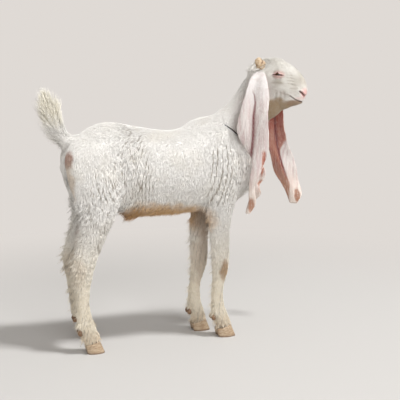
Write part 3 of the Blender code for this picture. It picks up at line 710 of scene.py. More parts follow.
def flow_of(places, normals, owners):
    """The way the hair lies at each place of the skin, before it is smoothed."""
    kinds = kinds_of(owners)
    x, zero, one = places[:, 0], np.zeros(len(places)), np.ones(len(places))
    top = smoothstep(0.25, 0.85, normals[:, 2])
    below = smoothstep(-0.4, -0.8, normals[:, 2])
    backward = BACKWARD * (1 - smoothstep(0.10, 0.17, x)) + 1.2 * top + 0.5 * below
    front = smoothstep(-0.27, -0.20, x)
    head = in_head(places)
    cheek = smoothstep(0.000, -0.055, head[:, 2])
    poll = smoothstep(0.025, -0.005, head[:, 0])
    ways = {
        "trunk": np.column_stack([-backward, zero, -1.0 + 0.5 * below]),
        "thigh": np.column_stack([-0.35 + 0.75 * front, zero, -one]),
        "head": np.column_stack([-one, zero, 0.45 - 0.95 * cheek - 1.0 * poll]) @ HEAD_TURN.T,
    }
    flow = np.tile([0.0, 0.0, -1.0], (len(places), 1))
    for kind, way in FLOWS.items():
        flow[kinds == kind] = way
    for kind, way in ways.items():
        flow[kinds == kind] = way[kinds == kind]
    near_hip = smoothstep(0.060, 0.020, np.hypot(x + 0.155, places[:, 2] - 0.515))
    whirl = 0.5 * noise(places, 0.030, 31) * near_hip * (kinds == "trunk")
    return unit(flow + np.cross(normals, flow) * whirl[:, None])


def coat_fields(mesh, owners):
    """For each vertex of the skin: the coat's lie, then its depth, length, width, spacing, wave and locks."""
    places, normals, edges = places_of(mesh), normals_of(mesh), edges_of(mesh)
    kinds = kinds_of(owners)
    flow = flow_of(places, normals, owners)
    length, width, spacing = (column(owners, which) / 1000 for which in (1, 2, 3))
    wave, locks = column(owners, 4), column(owners, 5)
    body = np.isin(kinds, ["trunk", "neck"])
    ridge = body * smoothstep(0.3, 0.9, normals[:, 2]) * smoothstep(0.47, 0.53, places[:, 2])
    length = length * (1 - 0.25 * ridge)
    curl = curly(places)
    length = length * (1 + 0.55 * curl * body)
    width = width * (1 + 0.20 * curl * body)
    wave = np.maximum(wave * (1 - 0.8 * ridge), 1.0 * curl)
    under = body * smoothstep(-0.2, -0.8, normals[:, 2])
    length = length * (1 + 0.55 * under)
    locks = np.maximum(locks * (1 - 0.5 * ridge) * (1 - curl), 0.9 * under)
    head = in_head(places)
    on_head = kinds == "head"
    crown = on_head * smoothstep(0.085, 0.020, head[:, 0]) * smoothstep(-0.010, 0.020, head[:, 2])
    length = length + 0.0080 * crown
    muzzle = on_head * smoothstep(0.075, 0.110, head[:, 0])
    length = length * (1 - 0.45 * muzzle)
    width = width * (1 - 0.25 * muzzle)
    values = np.column_stack([skin_to_surface(places, owners), length, width, spacing, wave, locks])
    for _ in range(4):
        flow = spread_over(edges, flow, 8)
        flow = unit(flow - normals * np.sum(flow * normals, axis=1)[:, None])
    return flow, spread_over(edges, values, 14)


def bareness(places):
    """Whether no tuft grows at a place: nostrils, lips, nose, lids, and where horns sit."""
    head = in_head(places)
    outline = head[:, [0, 2]]
    x, rise, upper, lower = across_lids(head)
    bare = (along(outline, NOSTRIL)[0] < 0.0050) | (along(outline, MOUTH)[0] < 0.0022) | (head[:, 0] > 0.117)
    bare |= (np.abs(x) < LID_HALF + 0.002) & (rise < upper + 0.0018) & (rise > -lower - 0.0022)
    bare &= apart(head, [0.06, 0, -0.02]) < 0.11
    for side in (-1, 1):
        bare |= apart(head, mirrored((0.006, 0.030, 0.033), side)) < 0.0165
    return bare


def sampled(places, triangles, weights):
    """Random places on the triangles: which triangle, and the three shares of its corners."""
    corners = places[triangles]
    area = np.linalg.norm(np.cross(corners[:, 1] - corners[:, 0], corners[:, 2] - corners[:, 0]), axis=1) / 2
    dose = area * weights
    count = int(dose.sum())
    picked = np.searchsorted(np.cumsum(dose), RANDOM.random(count) * dose.sum())
    first, second = np.sqrt(RANDOM.random(count)), RANDOM.random(count)
    shares = np.column_stack([1 - first, first * (1 - second), first * second])
    return np.minimum(picked, len(triangles) - 1), shares


def thinned(places, spacing):
    """One place of those that share a cell of the given size."""
    kept = []
    sizes = np.round(np.log(spacing) * 12)
    for size in np.unique(sizes):
        members = np.flatnonzero(sizes == size)
        cells = np.floor(places[members] / math.exp(size / 12)).astype(np.int64)
        keys = cells @ np.array([1, 4096, 16777216])
        kept.append(members[np.unique(keys, return_index=True)[1]])
    return np.sort(np.concatenate(kept))


PARTED_KINDS = ["trunk", "neck", "upper", "thigh", "gaskin"]
LEG_KINDS = ["upper", "gaskin", "cannon", "pastern"]


class Tufts:
    """A growing list of tufts, each a root, a lie, an outward way and its measures."""

    FIELDS = ("root", "lie", "out", "length", "width", "lift", "stand", "wave", "locks", "hug", "furrow")

    def __init__(self):
        self.parts = {field: [] for field in self.FIELDS}

    def add(self, **values):
        count = len(values["root"])
        for field in self.FIELDS:
            value = np.asarray(values.get(field, 0.0), dtype=float)
            if value.ndim == 0:
                value = np.full(count, float(value))
            self.parts[field].append(value)

    def finished(self):
        return {field: np.concatenate(values) for field, values in self.parts.items()}


def grow_hide(tufts, mesh, owners, fields):
    """Tufts all over the skin."""
    places, normals, triangles = places_of(mesh), normals_of(mesh), triangles_of(mesh)
    flow, values = fields
    spacing = values[:, 3]
    weights = OVERSOWN / spacing[triangles].mean(axis=1) ** 2
    weights[bareness(places)[triangles].any(axis=1)] = 0
    face, shares = sampled(places, triangles, weights)
    corners = triangles[face]

    def read(field):
        return np.einsum("ij,ij...->i...", shares, field[corners])

    root = read(places)
    kept = thinned(root, read(spacing))
    shares, corners, root = shares[kept], corners[kept], root[kept]
    depth, length, width, _, wave, locks = read(values).T
    out = unit(read(normals))
    kinds = kinds_of(owners[corners[:, 0]])
    vary = RANDOM.random((4, len(root)))
    lie = unit(read(flow))
    lie = unit(lie + np.cross(out, lie) * (0.06 * (vary[0] - 0.5))[:, None])
    on_legs = np.isin(kinds, LEG_KINDS)
    furrow = np.maximum(np.isin(kinds, PARTED_KINDS) * (0.10 + 0.90 * curly(root)), 0.60 * on_legs)
    ridges = lock_ridges(root)
    rise = 1 + furrow * (0.15 * ridges - 0.05)
    behind = smoothstep(-0.2, -0.8, out[:, 0]) * (root[:, 2] < 0.40)
    under = smoothstep(-0.2, -0.8, out[:, 2]) * (kinds == "trunk")
    crown = (kinds == "head") * smoothstep(0.3, 0.8, out[:, 2])
    crown = crown * smoothstep(0.090, 0.020, in_head(root)[:, 0])
    ragged = smoothstep(-0.1, 0.6, noise(root, (0.007, 0.007, 0.005), 81))
    coronet = (kinds == "pastern") * smoothstep(0.046, 0.038, root[:, 2])
    stand = (1.0 * behind + 0.22 * on_legs) * ragged + 0.35 * under * vary[2] + 0.60 * crown * vary[2]
    stand = np.maximum(stand, 0.50 * coronet * (0.4 + 0.6 * vary[2]))
    measures = {
        "root": root, "lie": lie, "out": out, "wave": wave, "locks": locks,
        "length": length * (0.75 + 0.5 * vary[1]),
        "width": width * (0.8 + 0.4 * vary[2]),
        "lift": depth * (0.76 + 0.12 * vary[3]) * rise,
        "stand": np.where(kinds == "tail", 0.45, stand),
        "hug": np.where(kinds == "tail", 0.0, 1.0),
        # furrow: where the coat's material paints shade lines between the locks
        "furrow": furrow * (1 - ridges),
    }
    on_sole = (out[:, 2] < -0.55) & (root[:, 2] < 0.06)
    tufts.add(**{field: numbers[~on_sole] for field, numbers in measures.items()})


def grow_lashes(tufts):
    """White lashes along the upper lids."""
    for side in (-1, 1):
        x = np.linspace(-0.0125, 0.0130, LASHES)
        middle, upper, _ = slit_of(x)
        y = middle + upper + 0.0006
        depth = np.sqrt(np.maximum((EYE_RADIUS + 0.0014)**2 - x**2 - y**2, 0.004**2))
        spot = np.column_stack([EYE_PLACE[0] + x, side * (EYE_PLACE[1] + depth), EYE_PLACE[2] + y])
        way = unit(np.column_stack([x * 30, np.full(LASHES, side * 1.0), np.full(LASHES, -0.25)]))
        tufts.add(
            root=from_head(spot), lie=way @ HEAD_TURN.T, out=np.tile([0.0, 0.0, 1.0], (LASHES, 1)),
            length=0.0050 + 0.0015 * RANDOM.random(LASHES), width=0.0005, lift=0.0006,
        )


def horn_axis(side):
    return unit(np.array([-0.35, side * 0.30, 0.90]))


def grow_horn_fringe(tufts):
    """Hair that stands up round each horn bud."""
    for side in (-1, 1):
        turn = RANDOM.random(FRINGE) * 2 * math.pi
        axis = horn_axis(side)
        first = unit(np.cross(axis, [0.0, 1.0, 0.0]))
        ring = np.cos(turn)[:, None] * first + np.sin(turn)[:, None] * np.cross(axis, first)
        radius = 0.0150 + 0.002 * RANDOM.random(FRINGE)
        spot = mirrored((0.006, 0.030, 0.0225), side) + ring * radius[:, None]
        way = unit(axis * 0.55 + ring * 0.9 + np.array([-0.5, 0.0, 0.0]) * RANDOM.random(FRINGE)[:, None])
        tufts.add(
            root=from_head(spot), lie=way @ HEAD_TURN.T, out=ring @ HEAD_TURN.T,
            length=0.006 + 0.006 * RANDOM.random(FRINGE), width=0.0011, lift=0.0008, wave=0.3,
        )


RINGS = np.array([0.0, 0.36, 0.72])          # where along a tuft its rings lie, before the tip
SWELL = np.array([0.75, 1.0, 0.62])          # each ring's share of the tuft's width
THICK = 0.32                                 # a tuft's thickness as a share of its width
ROOT_DEPTH = 0.0004                          # how far a tuft's root lies under the skin


def tuft_lines(data, tree):
    """The middle of each ring and the tip of every tuft, laid over the skin."""
    root, lie, out, stand = data["root"], data["lie"], data["out"], data["stand"]
    aside = unit(np.cross(out, lie))
    lock_size = np.clip(0.50 * data["length"], 0.004, 0.010)
    seeds = thinned(root, lock_size)
    finder = KDTree(len(seeds))
    for index, spot in enumerate(root[seeds].tolist()):
        finder.insert(spot, index)
    finder.balance()
    nearest = np.array([finder.find(spot)[1] for spot in root.tolist()])
    pull = root[seeds[nearest]] - root
    for way in (lie, out):
        pull -= way * np.sum(pull * way, axis=1)[:, None]
    domed = hump(np.linalg.norm(pull, axis=1), 0.6 * lock_size)
    height = data["lift"] * (1 - 0.35 * data["locks"] * (1 - domed))
    forward = np.where(aside[:, 0] < 0, -1.0, 1.0)
    start = sway(root)
    hugging = np.flatnonzero(data["hug"] > 0.5)
    lines = [root + out * -ROOT_DEPTH]
    for t in (*RINGS[1:], 1.0):
        ahead = lie * (t * data["length"])[:, None]
        raised = out * (t * t * stand * data["length"])[:, None]
        swing = SWING * data["wave"] * forward * (sway(root + ahead) - start)
        spot = root + (ahead + raised) + pull * (data["locks"] * t**1.3)[:, None] + aside * swing[:, None]
        on_skin, upward = spot + 0.0, out + 0.0
        for index, where in zip(hugging.tolist(), spot[hugging].tolist()):
            on_skin[index], upward[index] = tree.find_nearest(where)[:2]
        straight = spot - on_skin
        loose = smoothstep(0.004, 0.009, np.linalg.norm(straight, axis=1))
        loose = np.maximum(loose, np.minimum(1, stand * 4)) * (data["hug"] > 0.5)
        rise = height * t * (2.35 - 1.60 * t)
        lines.append(on_skin + straight * loose[:, None] + unit(upward + out * 0.5) * rise[:, None])
    return np.stack(lines, axis=1)


def tuft_mesh(name, data, lines, tuft_uv, shade):
    """Closed three-sided tapering tufts as one mesh, with the bake map and the values that tint it."""
    count, rings = len(lines), len(RINGS)
    heading = unit(lines[:, -1] - lines[:, 0])
    aside = unit(np.cross(data["out"], heading))
    upward = np.cross(heading, aside)
    places = np.empty((count, 3 * rings + 1, 3))
    flat = np.empty((count, 3 * rings + 1, 2))
    for ring, (t, swell) in enumerate(zip(RINGS, SWELL)):
        half = (data["width"] * swell / 2)[:, None]
        places[:, 3 * ring] = lines[:, ring] - aside * half
        places[:, 3 * ring + 1] = lines[:, ring] + upward * half * 2 * THICK
        places[:, 3 * ring + 2] = lines[:, ring] + aside * half
        level = PATCH * (t - 0.5)
        for corner, step in enumerate(([-PATCH / 2, level], [0.0, level + 0.2 * PATCH], [PATCH / 2, level])):
            flat[:, 3 * ring + corner] = tuft_uv + np.array(step)
    places[:, -1] = lines[:, -1]
    flat[:, -1] = tuft_uv + np.array([0.0, PATCH / 2 + 0.1 * PATCH])
    faces = [(0, 1, 2)]
    for ring in range(rings - 1):
        low, high = 3 * ring, 3 * ring + 3
        for corner in range(3):
            after = (corner + 1) % 3
            faces += [(low + corner, high + after, low + after), (low + corner, high + corner, high + after)]
    top = 3 * rings - 3
    faces += [(top + corner, 3 * rings, top + (corner + 1) % 3) for corner in range(3)]
    faces = np.array(faces)
    every = (faces[None] + (np.arange(count) * (3 * rings + 1))[:, None, None]).reshape(-1, 3)
    mesh = mesh_from(name, places.reshape(-1, 3), every)
    layer = mesh.uv_layers.new(name="OFBake")
    layer.uv.foreach_set("vector", flat.reshape(-1, 2)[every.ravel()].ravel())
    for label, values in (("shade", shade), ("furrow", data["furrow"]), ("fold", data["fold"])):
        set_values(mesh, label, np.repeat(values, 3 * rings + 1))
    set_values(mesh, "tip", np.tile(np.concatenate([np.repeat(RINGS, 3), [1.0]]), count))
    return mesh


class SkinMap:
    """A rough unwrap of the skin, which gives every place on it a place on the bake map."""

    def __init__(self, mesh):
        copy = with_modifier(mesh.copy(), "DECIMATE", ratio=0.03)
        obj = shown("skin_map", copy)
        bpy.context.view_layer.objects.active = obj
        obj.select_set(True)
        bpy.ops.object.mode_set(mode="EDIT")
        bpy.ops.mesh.select_all(action="SELECT")
        bpy.ops.mesh.quads_convert_to_tris()
        bpy.ops.uv.smart_project(angle_limit=math.radians(66), island_margin=0.004)
        bpy.ops.object.mode_set(mode="OBJECT")
        self.places = places_of(obj.data)
        self.faces = np.array([polygon.vertices[:] for polygon in obj.data.polygons])
        self.flat = rows_of(obj.data.uv_layers.active.uv, "vector", 2).reshape(-1, 3, 2)
        self.tree = BVHTree.FromPolygons(self.places.tolist(), self.faces.tolist())
        bpy.data.objects.remove(obj, do_unlink=True)

    def nearest_faces(self, spots):
        return np.array([self.tree.find_nearest(spot)[2] for spot in spots.tolist()])

    def read(self, spots, faces):
        """The map's place for each spot, on the plane of the given face."""
        a, b, c = (self.places[self.faces[faces, corner]] for corner in range(3))
        ab, ac, way = b - a, c - a, spots - a
        d00, d01, d11 = (np.sum(p * q, axis=1) for p, q in ((ab, ab), (ab, ac), (ac, ac)))
        d20, d21 = np.sum(way * ab, axis=1), np.sum(way * ac, axis=1)
        area = np.maximum(d00 * d11 - d01 * d01, 1e-18)
        v = np.clip((d11 * d20 - d01 * d21) / area, -0.5, 1.5)
        w = np.clip((d00 * d21 - d01 * d20) / area, -0.5, 1.5)
        flat = self.flat[faces]
        return flat[:, 0] * (1 - v - w)[:, None] + flat[:, 1] * v[:, None] + flat[:, 2] * w[:, None]


# ---------------------------------------------------------------- materials
BACKDROP = (0.74, 0.70, 0.665)
FLOOR = (0.55, 0.54, 0.525)
FADE = (0.6, 1.7)            # where the floor starts and ends fading into the backdrop
WHITE = (0.90, 0.885, 0.855)


class Nodes:
    """A short way to write a node tree."""

    def __init__(self, tree):
        self.tree = tree

    def fill(self, node, inputs):
        for key, value in inputs.items():
            if isinstance(value, bpy.types.NodeSocket):
                self.tree.links.new(value, node.inputs[key])
            else:
                node.inputs[key].default_value = value

    def add(self, kind, inputs=None, **values):
        node = self.tree.nodes.new(kind)
        for key, value in values.items():
            setattr(node, key, value)
        self.fill(node, inputs or {})
        return node

    def place(self):
        return self.add("ShaderNodeTexCoord").outputs["Object"]

    def value(self, label):
        """A number that the mesh holds for each vertex."""
        return self.add("ShaderNodeAttribute", attribute_name=label).outputs["Fac"]

    def math(self, operation, first, second=0.0):
        return self.add("ShaderNodeMath", {0: first, 1: second}, operation=operation).outputs[0]

    def vector(self, operation, first, second):
        if not isinstance(second, bpy.types.NodeSocket):
            second = tuple(second)
        return self.add("ShaderNodeVectorMath", {0: first, 1: second}, operation=operation).outputs[0]

    def length(self, where):
        return self.add("ShaderNodeVectorMath", {0: where}, operation="LENGTH").outputs["Value"]

    def height(self, where):
        return self.add("ShaderNodeSeparateXYZ", {0: where}).outputs["Z"]

    def ramp(self, value, low, high, start=0.0, end=1.0):
        inputs = {"Value": value, "From Min": low, "From Max": high, "To Min": start, "To Max": end}
        return self.add("ShaderNodeMapRange", inputs, interpolation_type="SMOOTHSTEP").outputs[0]

    def mix(self, share, first, second, strength=1.0):
        """From the first colour to the second, by a share that the strength scales down."""
        if strength != 1.0:
            share = self.math("MULTIPLY", share, strength)
        first, second = (color if isinstance(color, bpy.types.NodeSocket) else (*color, 1.0)
                         for color in (first, second))
        return self.add("ShaderNodeMix", {0: share, 6: first, 7: second}, data_type="RGBA").outputs[2]

    def noise(self, where, scale, detail=2.0):
        inputs = {"Vector": where, "Scale": scale, "Detail": detail}
        return self.add("ShaderNodeTexNoise", inputs).outputs["Fac"]

    def streaks(self, where, stretch, scale, detail=2.0):
        """Noise drawn out along Z where the stretch is below 1."""
        return self.noise(self.vector("MULTIPLY", where, (1.0, 1.0, stretch)), scale, detail)

    def spot(self, where, center, radii, soft=0.6):
        """1 inside an ellipsoid, fading to 0 at its surface."""
        scaled = self.vector("DIVIDE", self.vector("SUBTRACT", where, center), radii)
        return self.ramp(self.length(scaled), 1.0 - soft, 1.0, 1.0, 0.0)


class Look(Nodes):
    """A material with its node tree and shader."""

    def __init__(self, name, rough=0.5, sheen=0.0):
        self.material = bpy.data.materials.new(name)
        self.material.use_nodes = True
        super().__init__(self.material.node_tree)
        self.shader = self.tree.nodes["Principled BSDF"]
        self.shade({"Roughness": rough, "Sheen Weight": sheen})

    def shade(self, inputs):
        self.fill(self.shader, inputs)

    def bump(self, strength, distance, height):
        node = self.add("ShaderNodeBump", {"Strength": strength, "Distance": distance, "Height": height})
        self.shade({"Normal": node.outputs["Normal"]})

    def glow(self, color):
        return self.add("ShaderNodeEmission", {"Color": (*color, 1.0), "Strength": 1.0}).outputs[0]

    def show(self, surface):
        """Puts another surface in the shader's place."""
        self.fill(self.tree.nodes["Material Output"], {"Surface": surface})


def node_middle(name):
    low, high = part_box(name)
    return (low + high) / 2


def marks_and_painted_shade():
    """Stains on the coat and painted shade on the far legs and the rear of the thighs, each a colour, how
    strongly it covers, and an ellipsoid's centre and radii.
    """
    knee, knee_z = node_middle("foreleg_right_upper"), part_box("foreleg_right_upper")[0].z
    far, far_top = node_middle("foreleg_left_upper"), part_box("foreleg_left_upper")[1].z
    tail_low, tail_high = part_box("tail")
    gaskin = node_middle("hindleg_left_gaskin")
    marks = [((0.46, 0.26, 0.10), 0.90, (knee.x + 0.016, knee.y - 0.010, knee_z), (0.022, 0.026, 0.044))]
    for x, z in ((-0.100, 0.334), (-0.045, 0.329), (0.010, 0.322)):
        marks.append(((0.64, 0.37, 0.12), 0.90, (x, 0.0, z), (0.085, 0.300, 0.058)))
    marks += [
        ((0.52, 0.26, 0.06), 0.95, (-0.138, 0.000, 0.336), (0.042, 0.200, 0.030)),
        ((0.90, 0.85, 0.70), 0.80, (tail_low.x + 0.030, 0.019, tail_high.z - 0.020), (0.060, 0.060, 0.080)),
        ((0.34, 0.16, 0.10), 0.90, (-0.311, -0.040, 0.492), (0.021, 0.036, 0.033)),
        # Painted shade on the rear of the thighs below the tail
        ((0.56, 0.42, 0.28), 0.60, (-0.306, -0.040, 0.430), (0.026, 0.030, 0.075)),
        # Painted shade on the far legs, which stand in shade: the far foreleg and the far hind leg's gaskin
        ((0.42, 0.28, 0.17), 0.80, (far.x, far.y - 0.015, far_top - 0.015), (0.045, 0.035, 0.075)),
        ((0.62, 0.49, 0.37), 0.65, (far.x, far.y - 0.015, far.z - 0.050), (0.045, 0.032, 0.150)),
        ((0.50, 0.34, 0.27), 0.60, gaskin + Vector((0.010, -0.020, 0.020)), (0.030, 0.022, 0.060)),
    ]
    for name in ("hindleg_right_gaskin", "hindleg_left_gaskin"):
        low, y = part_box(name)[0], node_middle(name).y
        marks.append(((0.70, 0.58, 0.43), 0.55, (low.x + 0.015, y, low.z + 0.020), (0.030, 0.040, 0.055)))
    return marks


# Tints of the face and painted shade on it, in the head's frame: colour, strength, centre, radii, width of
# the soft edge
WHOLE_FACE = ((0.69, 0.67, 0.62), 0.80, (0.055, 0, -0.010), (0.090, 0.070, 0.085), 0.35)
RAGGED_TINTS = [
    ((0.38, 0.345, 0.28), 0.85, (0.104, 0, -0.020), (0.046, 0.045, 0.048), 0.80),    # painted shade on the bridge of the nose
    ((0.36, 0.25, 0.13), 0.95, (0.042, 0, -0.084), (0.074, 0.055, 0.042), 0.30),     # jaw: painted shade under it, partly its own tan colour
]
SIDE_TINTS = [
    ((0.70, 0.42, 0.39), 0.85, (0.059, 0.046, 0.004), (0.0235, 0.021, 0.0135), 0.55),      # lids
    ((0.48, 0.44, 0.36), 0.60, (0.059, 0.042, -0.016), (0.020, 0.020, 0.011), 0.80),       # painted shadow under the eye
    ((0.74, 0.40, 0.37), 0.85, (0.119, 0.010, -0.044), (0.018, 0.016, 0.019), 0.60),       # nose
    ((0.82, 0.60, 0.55), 0.70, (0.107, 0.012, -0.057), (0.019, 0.018, 0.0075), 0.70),      # upper lip
    ((0.31, 0.19, 0.10), 0.90, (0.098, 0.010, -0.0695), (0.034, 0.022, 0.0120), 0.45),     # mouth: dark brown lower lip, partly painted shade below the mouth line
]


def ear_color(nodes, where, height):
    """An ear's two sides, with painted shade on the inner side, its rim, and painted shade along its crease.
    """
    streaks = nodes.streaks(where, 0.12, 150.0, 3.0)
    lines = nodes.streaks(where, 0.08, 330.0)
    low_ear = nodes.ramp(height, 0.48, 0.38)
    outside = nodes.mix(nodes.ramp(streaks, 0.38, 0.62), (0.68, 0.63, 0.605), (0.57, 0.46, 0.45))
    outside = nodes.mix(nodes.ramp(lines, 0.56, 0.70, 0.0, 0.55), outside, (0.42, 0.33, 0.33))
    outside = nodes.mix(low_ear, outside, (0.74, 0.62, 0.51), 0.5)
    outside = nodes.mix(nodes.ramp(height, 0.60, 0.67, 0.0, 0.7), outside, (0.64, 0.62, 0.61))
    # The inner side: its own pink-red, darkened with painted shade, most of all at the top
    inside = nodes.mix(nodes.ramp(streaks, 0.35, 0.65), (0.44, 0.19, 0.13), (0.30, 0.095, 0.065))
    inside = nodes.mix(nodes.ramp(height, 0.53, 0.60, 0.0, 0.7), inside, (0.46, 0.075, 0.045))
    inside = nodes.mix(low_ear, inside, (0.36, 0.20, 0.125), 0.7)
    color = nodes.mix(nodes.value("inner"), outside, inside)
    color = nodes.mix(nodes.value("rim"), color, (0.86, 0.75, 0.66), 0.8)
    # Painted shade, near black-red, along the ear's crease
    return nodes.mix(nodes.value("crease"), color, (0.16, 0.026, 0.028))


def hide_group():
    """The goat's colours and painted shade, by place, for skin and coat alike."""
    group = bpy.data.node_groups.new("goat_colours_and_shade", "ShaderNodeTree")
    group.interface.new_socket("Color", in_out="OUTPUT", socket_type="NodeSocketColor")
    nodes = Nodes(group)
    where = nodes.place()
    stir = nodes.add("ShaderNodeTexNoise", {"Vector": where, "Scale": 45.0, "Detail": 6.0}).outputs["Color"]
    moved = nodes.vector("MULTIPLY", nodes.vector("SUBTRACT", stir, (0.5,) * 3), (0.032,) * 3)
    stirred = nodes.vector("ADD", where, moved)
    height = nodes.height(stirred)
    patchy = nodes.noise(where, 14.0, 3.0)
    color = nodes.mix(nodes.ramp(patchy, 0.45, 0.72, 0.0, 0.30), WHITE, (0.86, 0.81, 0.71))
    color = nodes.mix(nodes.ramp(height, 0.38, 0.10, 0.0, 0.85), color, (0.86, 0.77, 0.60))
    color = nodes.mix(nodes.ramp(height, 0.075, 0.030, 0.0, 0.55), color, (0.70, 0.53, 0.34))
    for tint, strength, center, radii in marks_and_painted_shade():
        color = nodes.mix(nodes.spot(stirred, center, radii), color, tint, strength)
    face = [(where, 1, WHOLE_FACE)] + [(stirred, 1, row) for row in RAGGED_TINTS]
    face += [(where, side, row) for side in (-1, 1) for row in SIDE_TINTS]
    for spots, side, (tint, strength, center, radii, soft) in face:
        share = nodes.spot(spots, from_head(mirrored(center, side)), radii, soft)
        color = nodes.mix(share, color, tint, strength)
    color = nodes.mix(nodes.value("ear"), color, ear_color(nodes, where, height))
    # Painted shade in the folds of the face
    color = nodes.mix(nodes.value("fold"), color, (0.38, 0.32, 0.26), 0.85)
    # Near-black painted shade in the nostrils, along the mouth and in the lids' slit
    color = nodes.mix(nodes.value("dark"), color, (0.065, 0.025, 0.020))
    nodes.add("NodeGroupOutput", {"Color": color})
    return group


def hide_color(look, group):
    node = look.add("ShaderNodeGroup")
    node.node_tree = group
    return node.outputs["Color"]


def coat_material(group):
    look = Look("coat", 0.62, 0.25)
    furrow = look.value("furrow")
    # Painted shade: darker towards each tuft's root and along the partings between locks, where shade falls
    # in the coat
    at_root = look.ramp(look.value("tip"), 0.5, 0.0, 0.0, 0.25)
    low = look.math("MAXIMUM", at_root, look.ramp(furrow, 0.30, 0.80, 0.0, 0.85))
    painted_shade = look.mix(low, hide_color(look, group), (0.30, 0.25, 0.19))
    pale = look.math("MULTIPLY", look.value("shade"), look.ramp(furrow, 0.3, 0.8, 0.6, 0.1))
    look.shade({"Base Color": look.mix(pale, painted_shade, (0.96, 0.945, 0.90)), "Specular IOR Level": 0.25})
    return look.material


def skin_material(group):
    look = Look("skin", 0.55, 0.20)
    where = look.place()
    hair = look.math("MULTIPLY", look.streaks(where, 0.16, 900.0, 3.0), 0.6)
    wrinkles = look.math("MULTIPLY", look.streaks(where, 0.35, 260.0), 0.8)
    look.shade({"Base Color": hide_color(look, group)})
    look.bump(0.45, 0.0011, look.math("ADD", hair, wrinkles))
    return look.material


def horn_look(name, light, dark, band, rough=0.45):
    """Horn with fine bands across Z and darker blotches: the look, its colour and its bands."""
    look = Look(name, rough)
    where = look.place()
    bands = look.noise(look.vector("MULTIPLY", where, (0.25, 0.25, 1.0)), band, 3.0)
    color = look.mix(look.ramp(bands, 0.38, 0.66), light, dark)
    color = look.mix(look.ramp(look.noise(where, 160.0), 0.50, 0.72, 0.0, 0.6), color, dark)
    return look, color, bands


def hoof_material():
    look, color, bands = horn_look("hoof_horn", (0.50, 0.39, 0.27), (0.33, 0.22, 0.135), 420.0)
    # Darker towards the sole, over the lowest 7 mm
    toward_sole = look.ramp(look.height(look.place()), 0.007, 0.001, 0.0, 0.75)
    look.shade({"Base Color": look.mix(toward_sole, color, (0.16, 0.10, 0.065))})
    look.bump(0.5, 0.0007, bands)
    return look.material


def bud_material():
    look, color, bands = horn_look("horn_bud", (0.66, 0.53, 0.38), (0.47, 0.33, 0.19), 300.0, 0.7)
    worn = look.ramp(look.noise(look.place(), 110.0, 3.0), 0.50, 0.62, 0.0, 0.8)
    color = look.mix(worn, color, (0.30, 0.17, 0.08))
    look.shade({"Base Color": look.mix(look.value("crack"), color, (0.10, 0.045, 0.02))})
    look.bump(0.6, 0.0008, bands)
    return look.material


def dewclaw_material():
    look, color, _ = horn_look("dewclaw_horn", (0.26, 0.15, 0.08), (0.13, 0.075, 0.04), 420.0)
    look.shade({"Base Color": color})
    return look.material


def eye_material():
    """Iris, a slit pupil across it, a dark ring round it and the white beyond."""
    look = Look("eye", 0.20)
    ahead, above = look.value("gaze_ahead"), look.value("gaze_above")
    across = look.math("MULTIPLY", ahead, ahead)
    upward = look.math("MULTIPLY", above, above)
    radius = look.math("SQRT", look.math("ADD", across, upward))
    width = look.math("MULTIPLY", look.math("ABSOLUTE", ahead), 0.36)
    slot = look.math("MAXIMUM", width, look.math("ABSOLUTE", above))
    fibres = look.ramp(look.noise(look.place(), 900.0), 0.35, 0.65)
    color = look.mix(fibres, (0.13, 0.06, 0.022), (0.07, 0.03, 0.012))
    color = look.mix(look.ramp(radius, 0.66, 0.76), color, (0.30, 0.18, 0.15))
    ring = look.math("SUBTRACT", look.ramp(radius, 0.58, 0.66), look.ramp(radius, 0.68, 0.76))
    color = look.mix(ring, color, (0.03, 0.015, 0.01))
    color = look.mix(look.ramp(slot, 0.125, 0.155, 1.0, 0.0), color, (0.008, 0.006, 0.006))
    look.shade({"Base Color": color, "Specular IOR Level": 0.30, "Coat Weight": 0.25})
    return look.material


def cord_material():
    look = Look("neck_cord", 0.75)
    fuzz = look.ramp(look.noise(look.place(), 1500.0), 0.3, 0.7)
    look.shade({"Base Color": look.mix(fuzz, (0.012, 0.012, 0.013), (0.035, 0.034, 0.034))})
    return look.material


def floor_material():
    """Pale floor that fades into the backdrop away from the goat."""
    look = Look("floor", 0.9)
    look.shade({"Base Color": (*FLOOR, 1.0), "Specular IOR Level": 0.1})
    away = look.ramp(look.length(look.place()), *FADE)
    blend = look.add("ShaderNodeMixShader", {0: away, 1: look.shader.outputs[0], 2: look.glow(BACKDROP)})
    look.show(blend.outputs[0])
    return look.material


# ---------------------------------------------------------------- eyes, horn, hooves, cord
def sphere(name, segments, rings):
    return edited(bpy.data.meshes.new(name), lambda work: bmesh.ops.create_uvsphere(
        work, u_segments=segments, v_segments=rings, radius=1.0))


def eyeball(side):
    """A ball with a low cornea, and each point's place about the line of sight."""
    mesh = sphere("eyeball", 64, 48)
    ball = places_of(mesh)
    sight = unit(np.array([0.22, side * 1.0, 0.02]))
    ahead = unit(np.array([1.0, 0.0, 0.0]) - sight * sight[0])
    above = np.cross(sight, ahead) * side * -1
    facing = ball @ sight
    cornea = 1 + 0.05 * smoothstep(0.72, 0.95, facing)
    place(mesh, from_head(ball * cornea[:, None] * (EYE_RADIUS - 0.0002) + mirrored(EYE_PLACE, side)))
    for label, way in (("gaze_ahead", ahead), ("gaze_above", above)):
        set_values(mesh, label, np.where(facing > 0, ball @ way, 2.0))
    return mesh


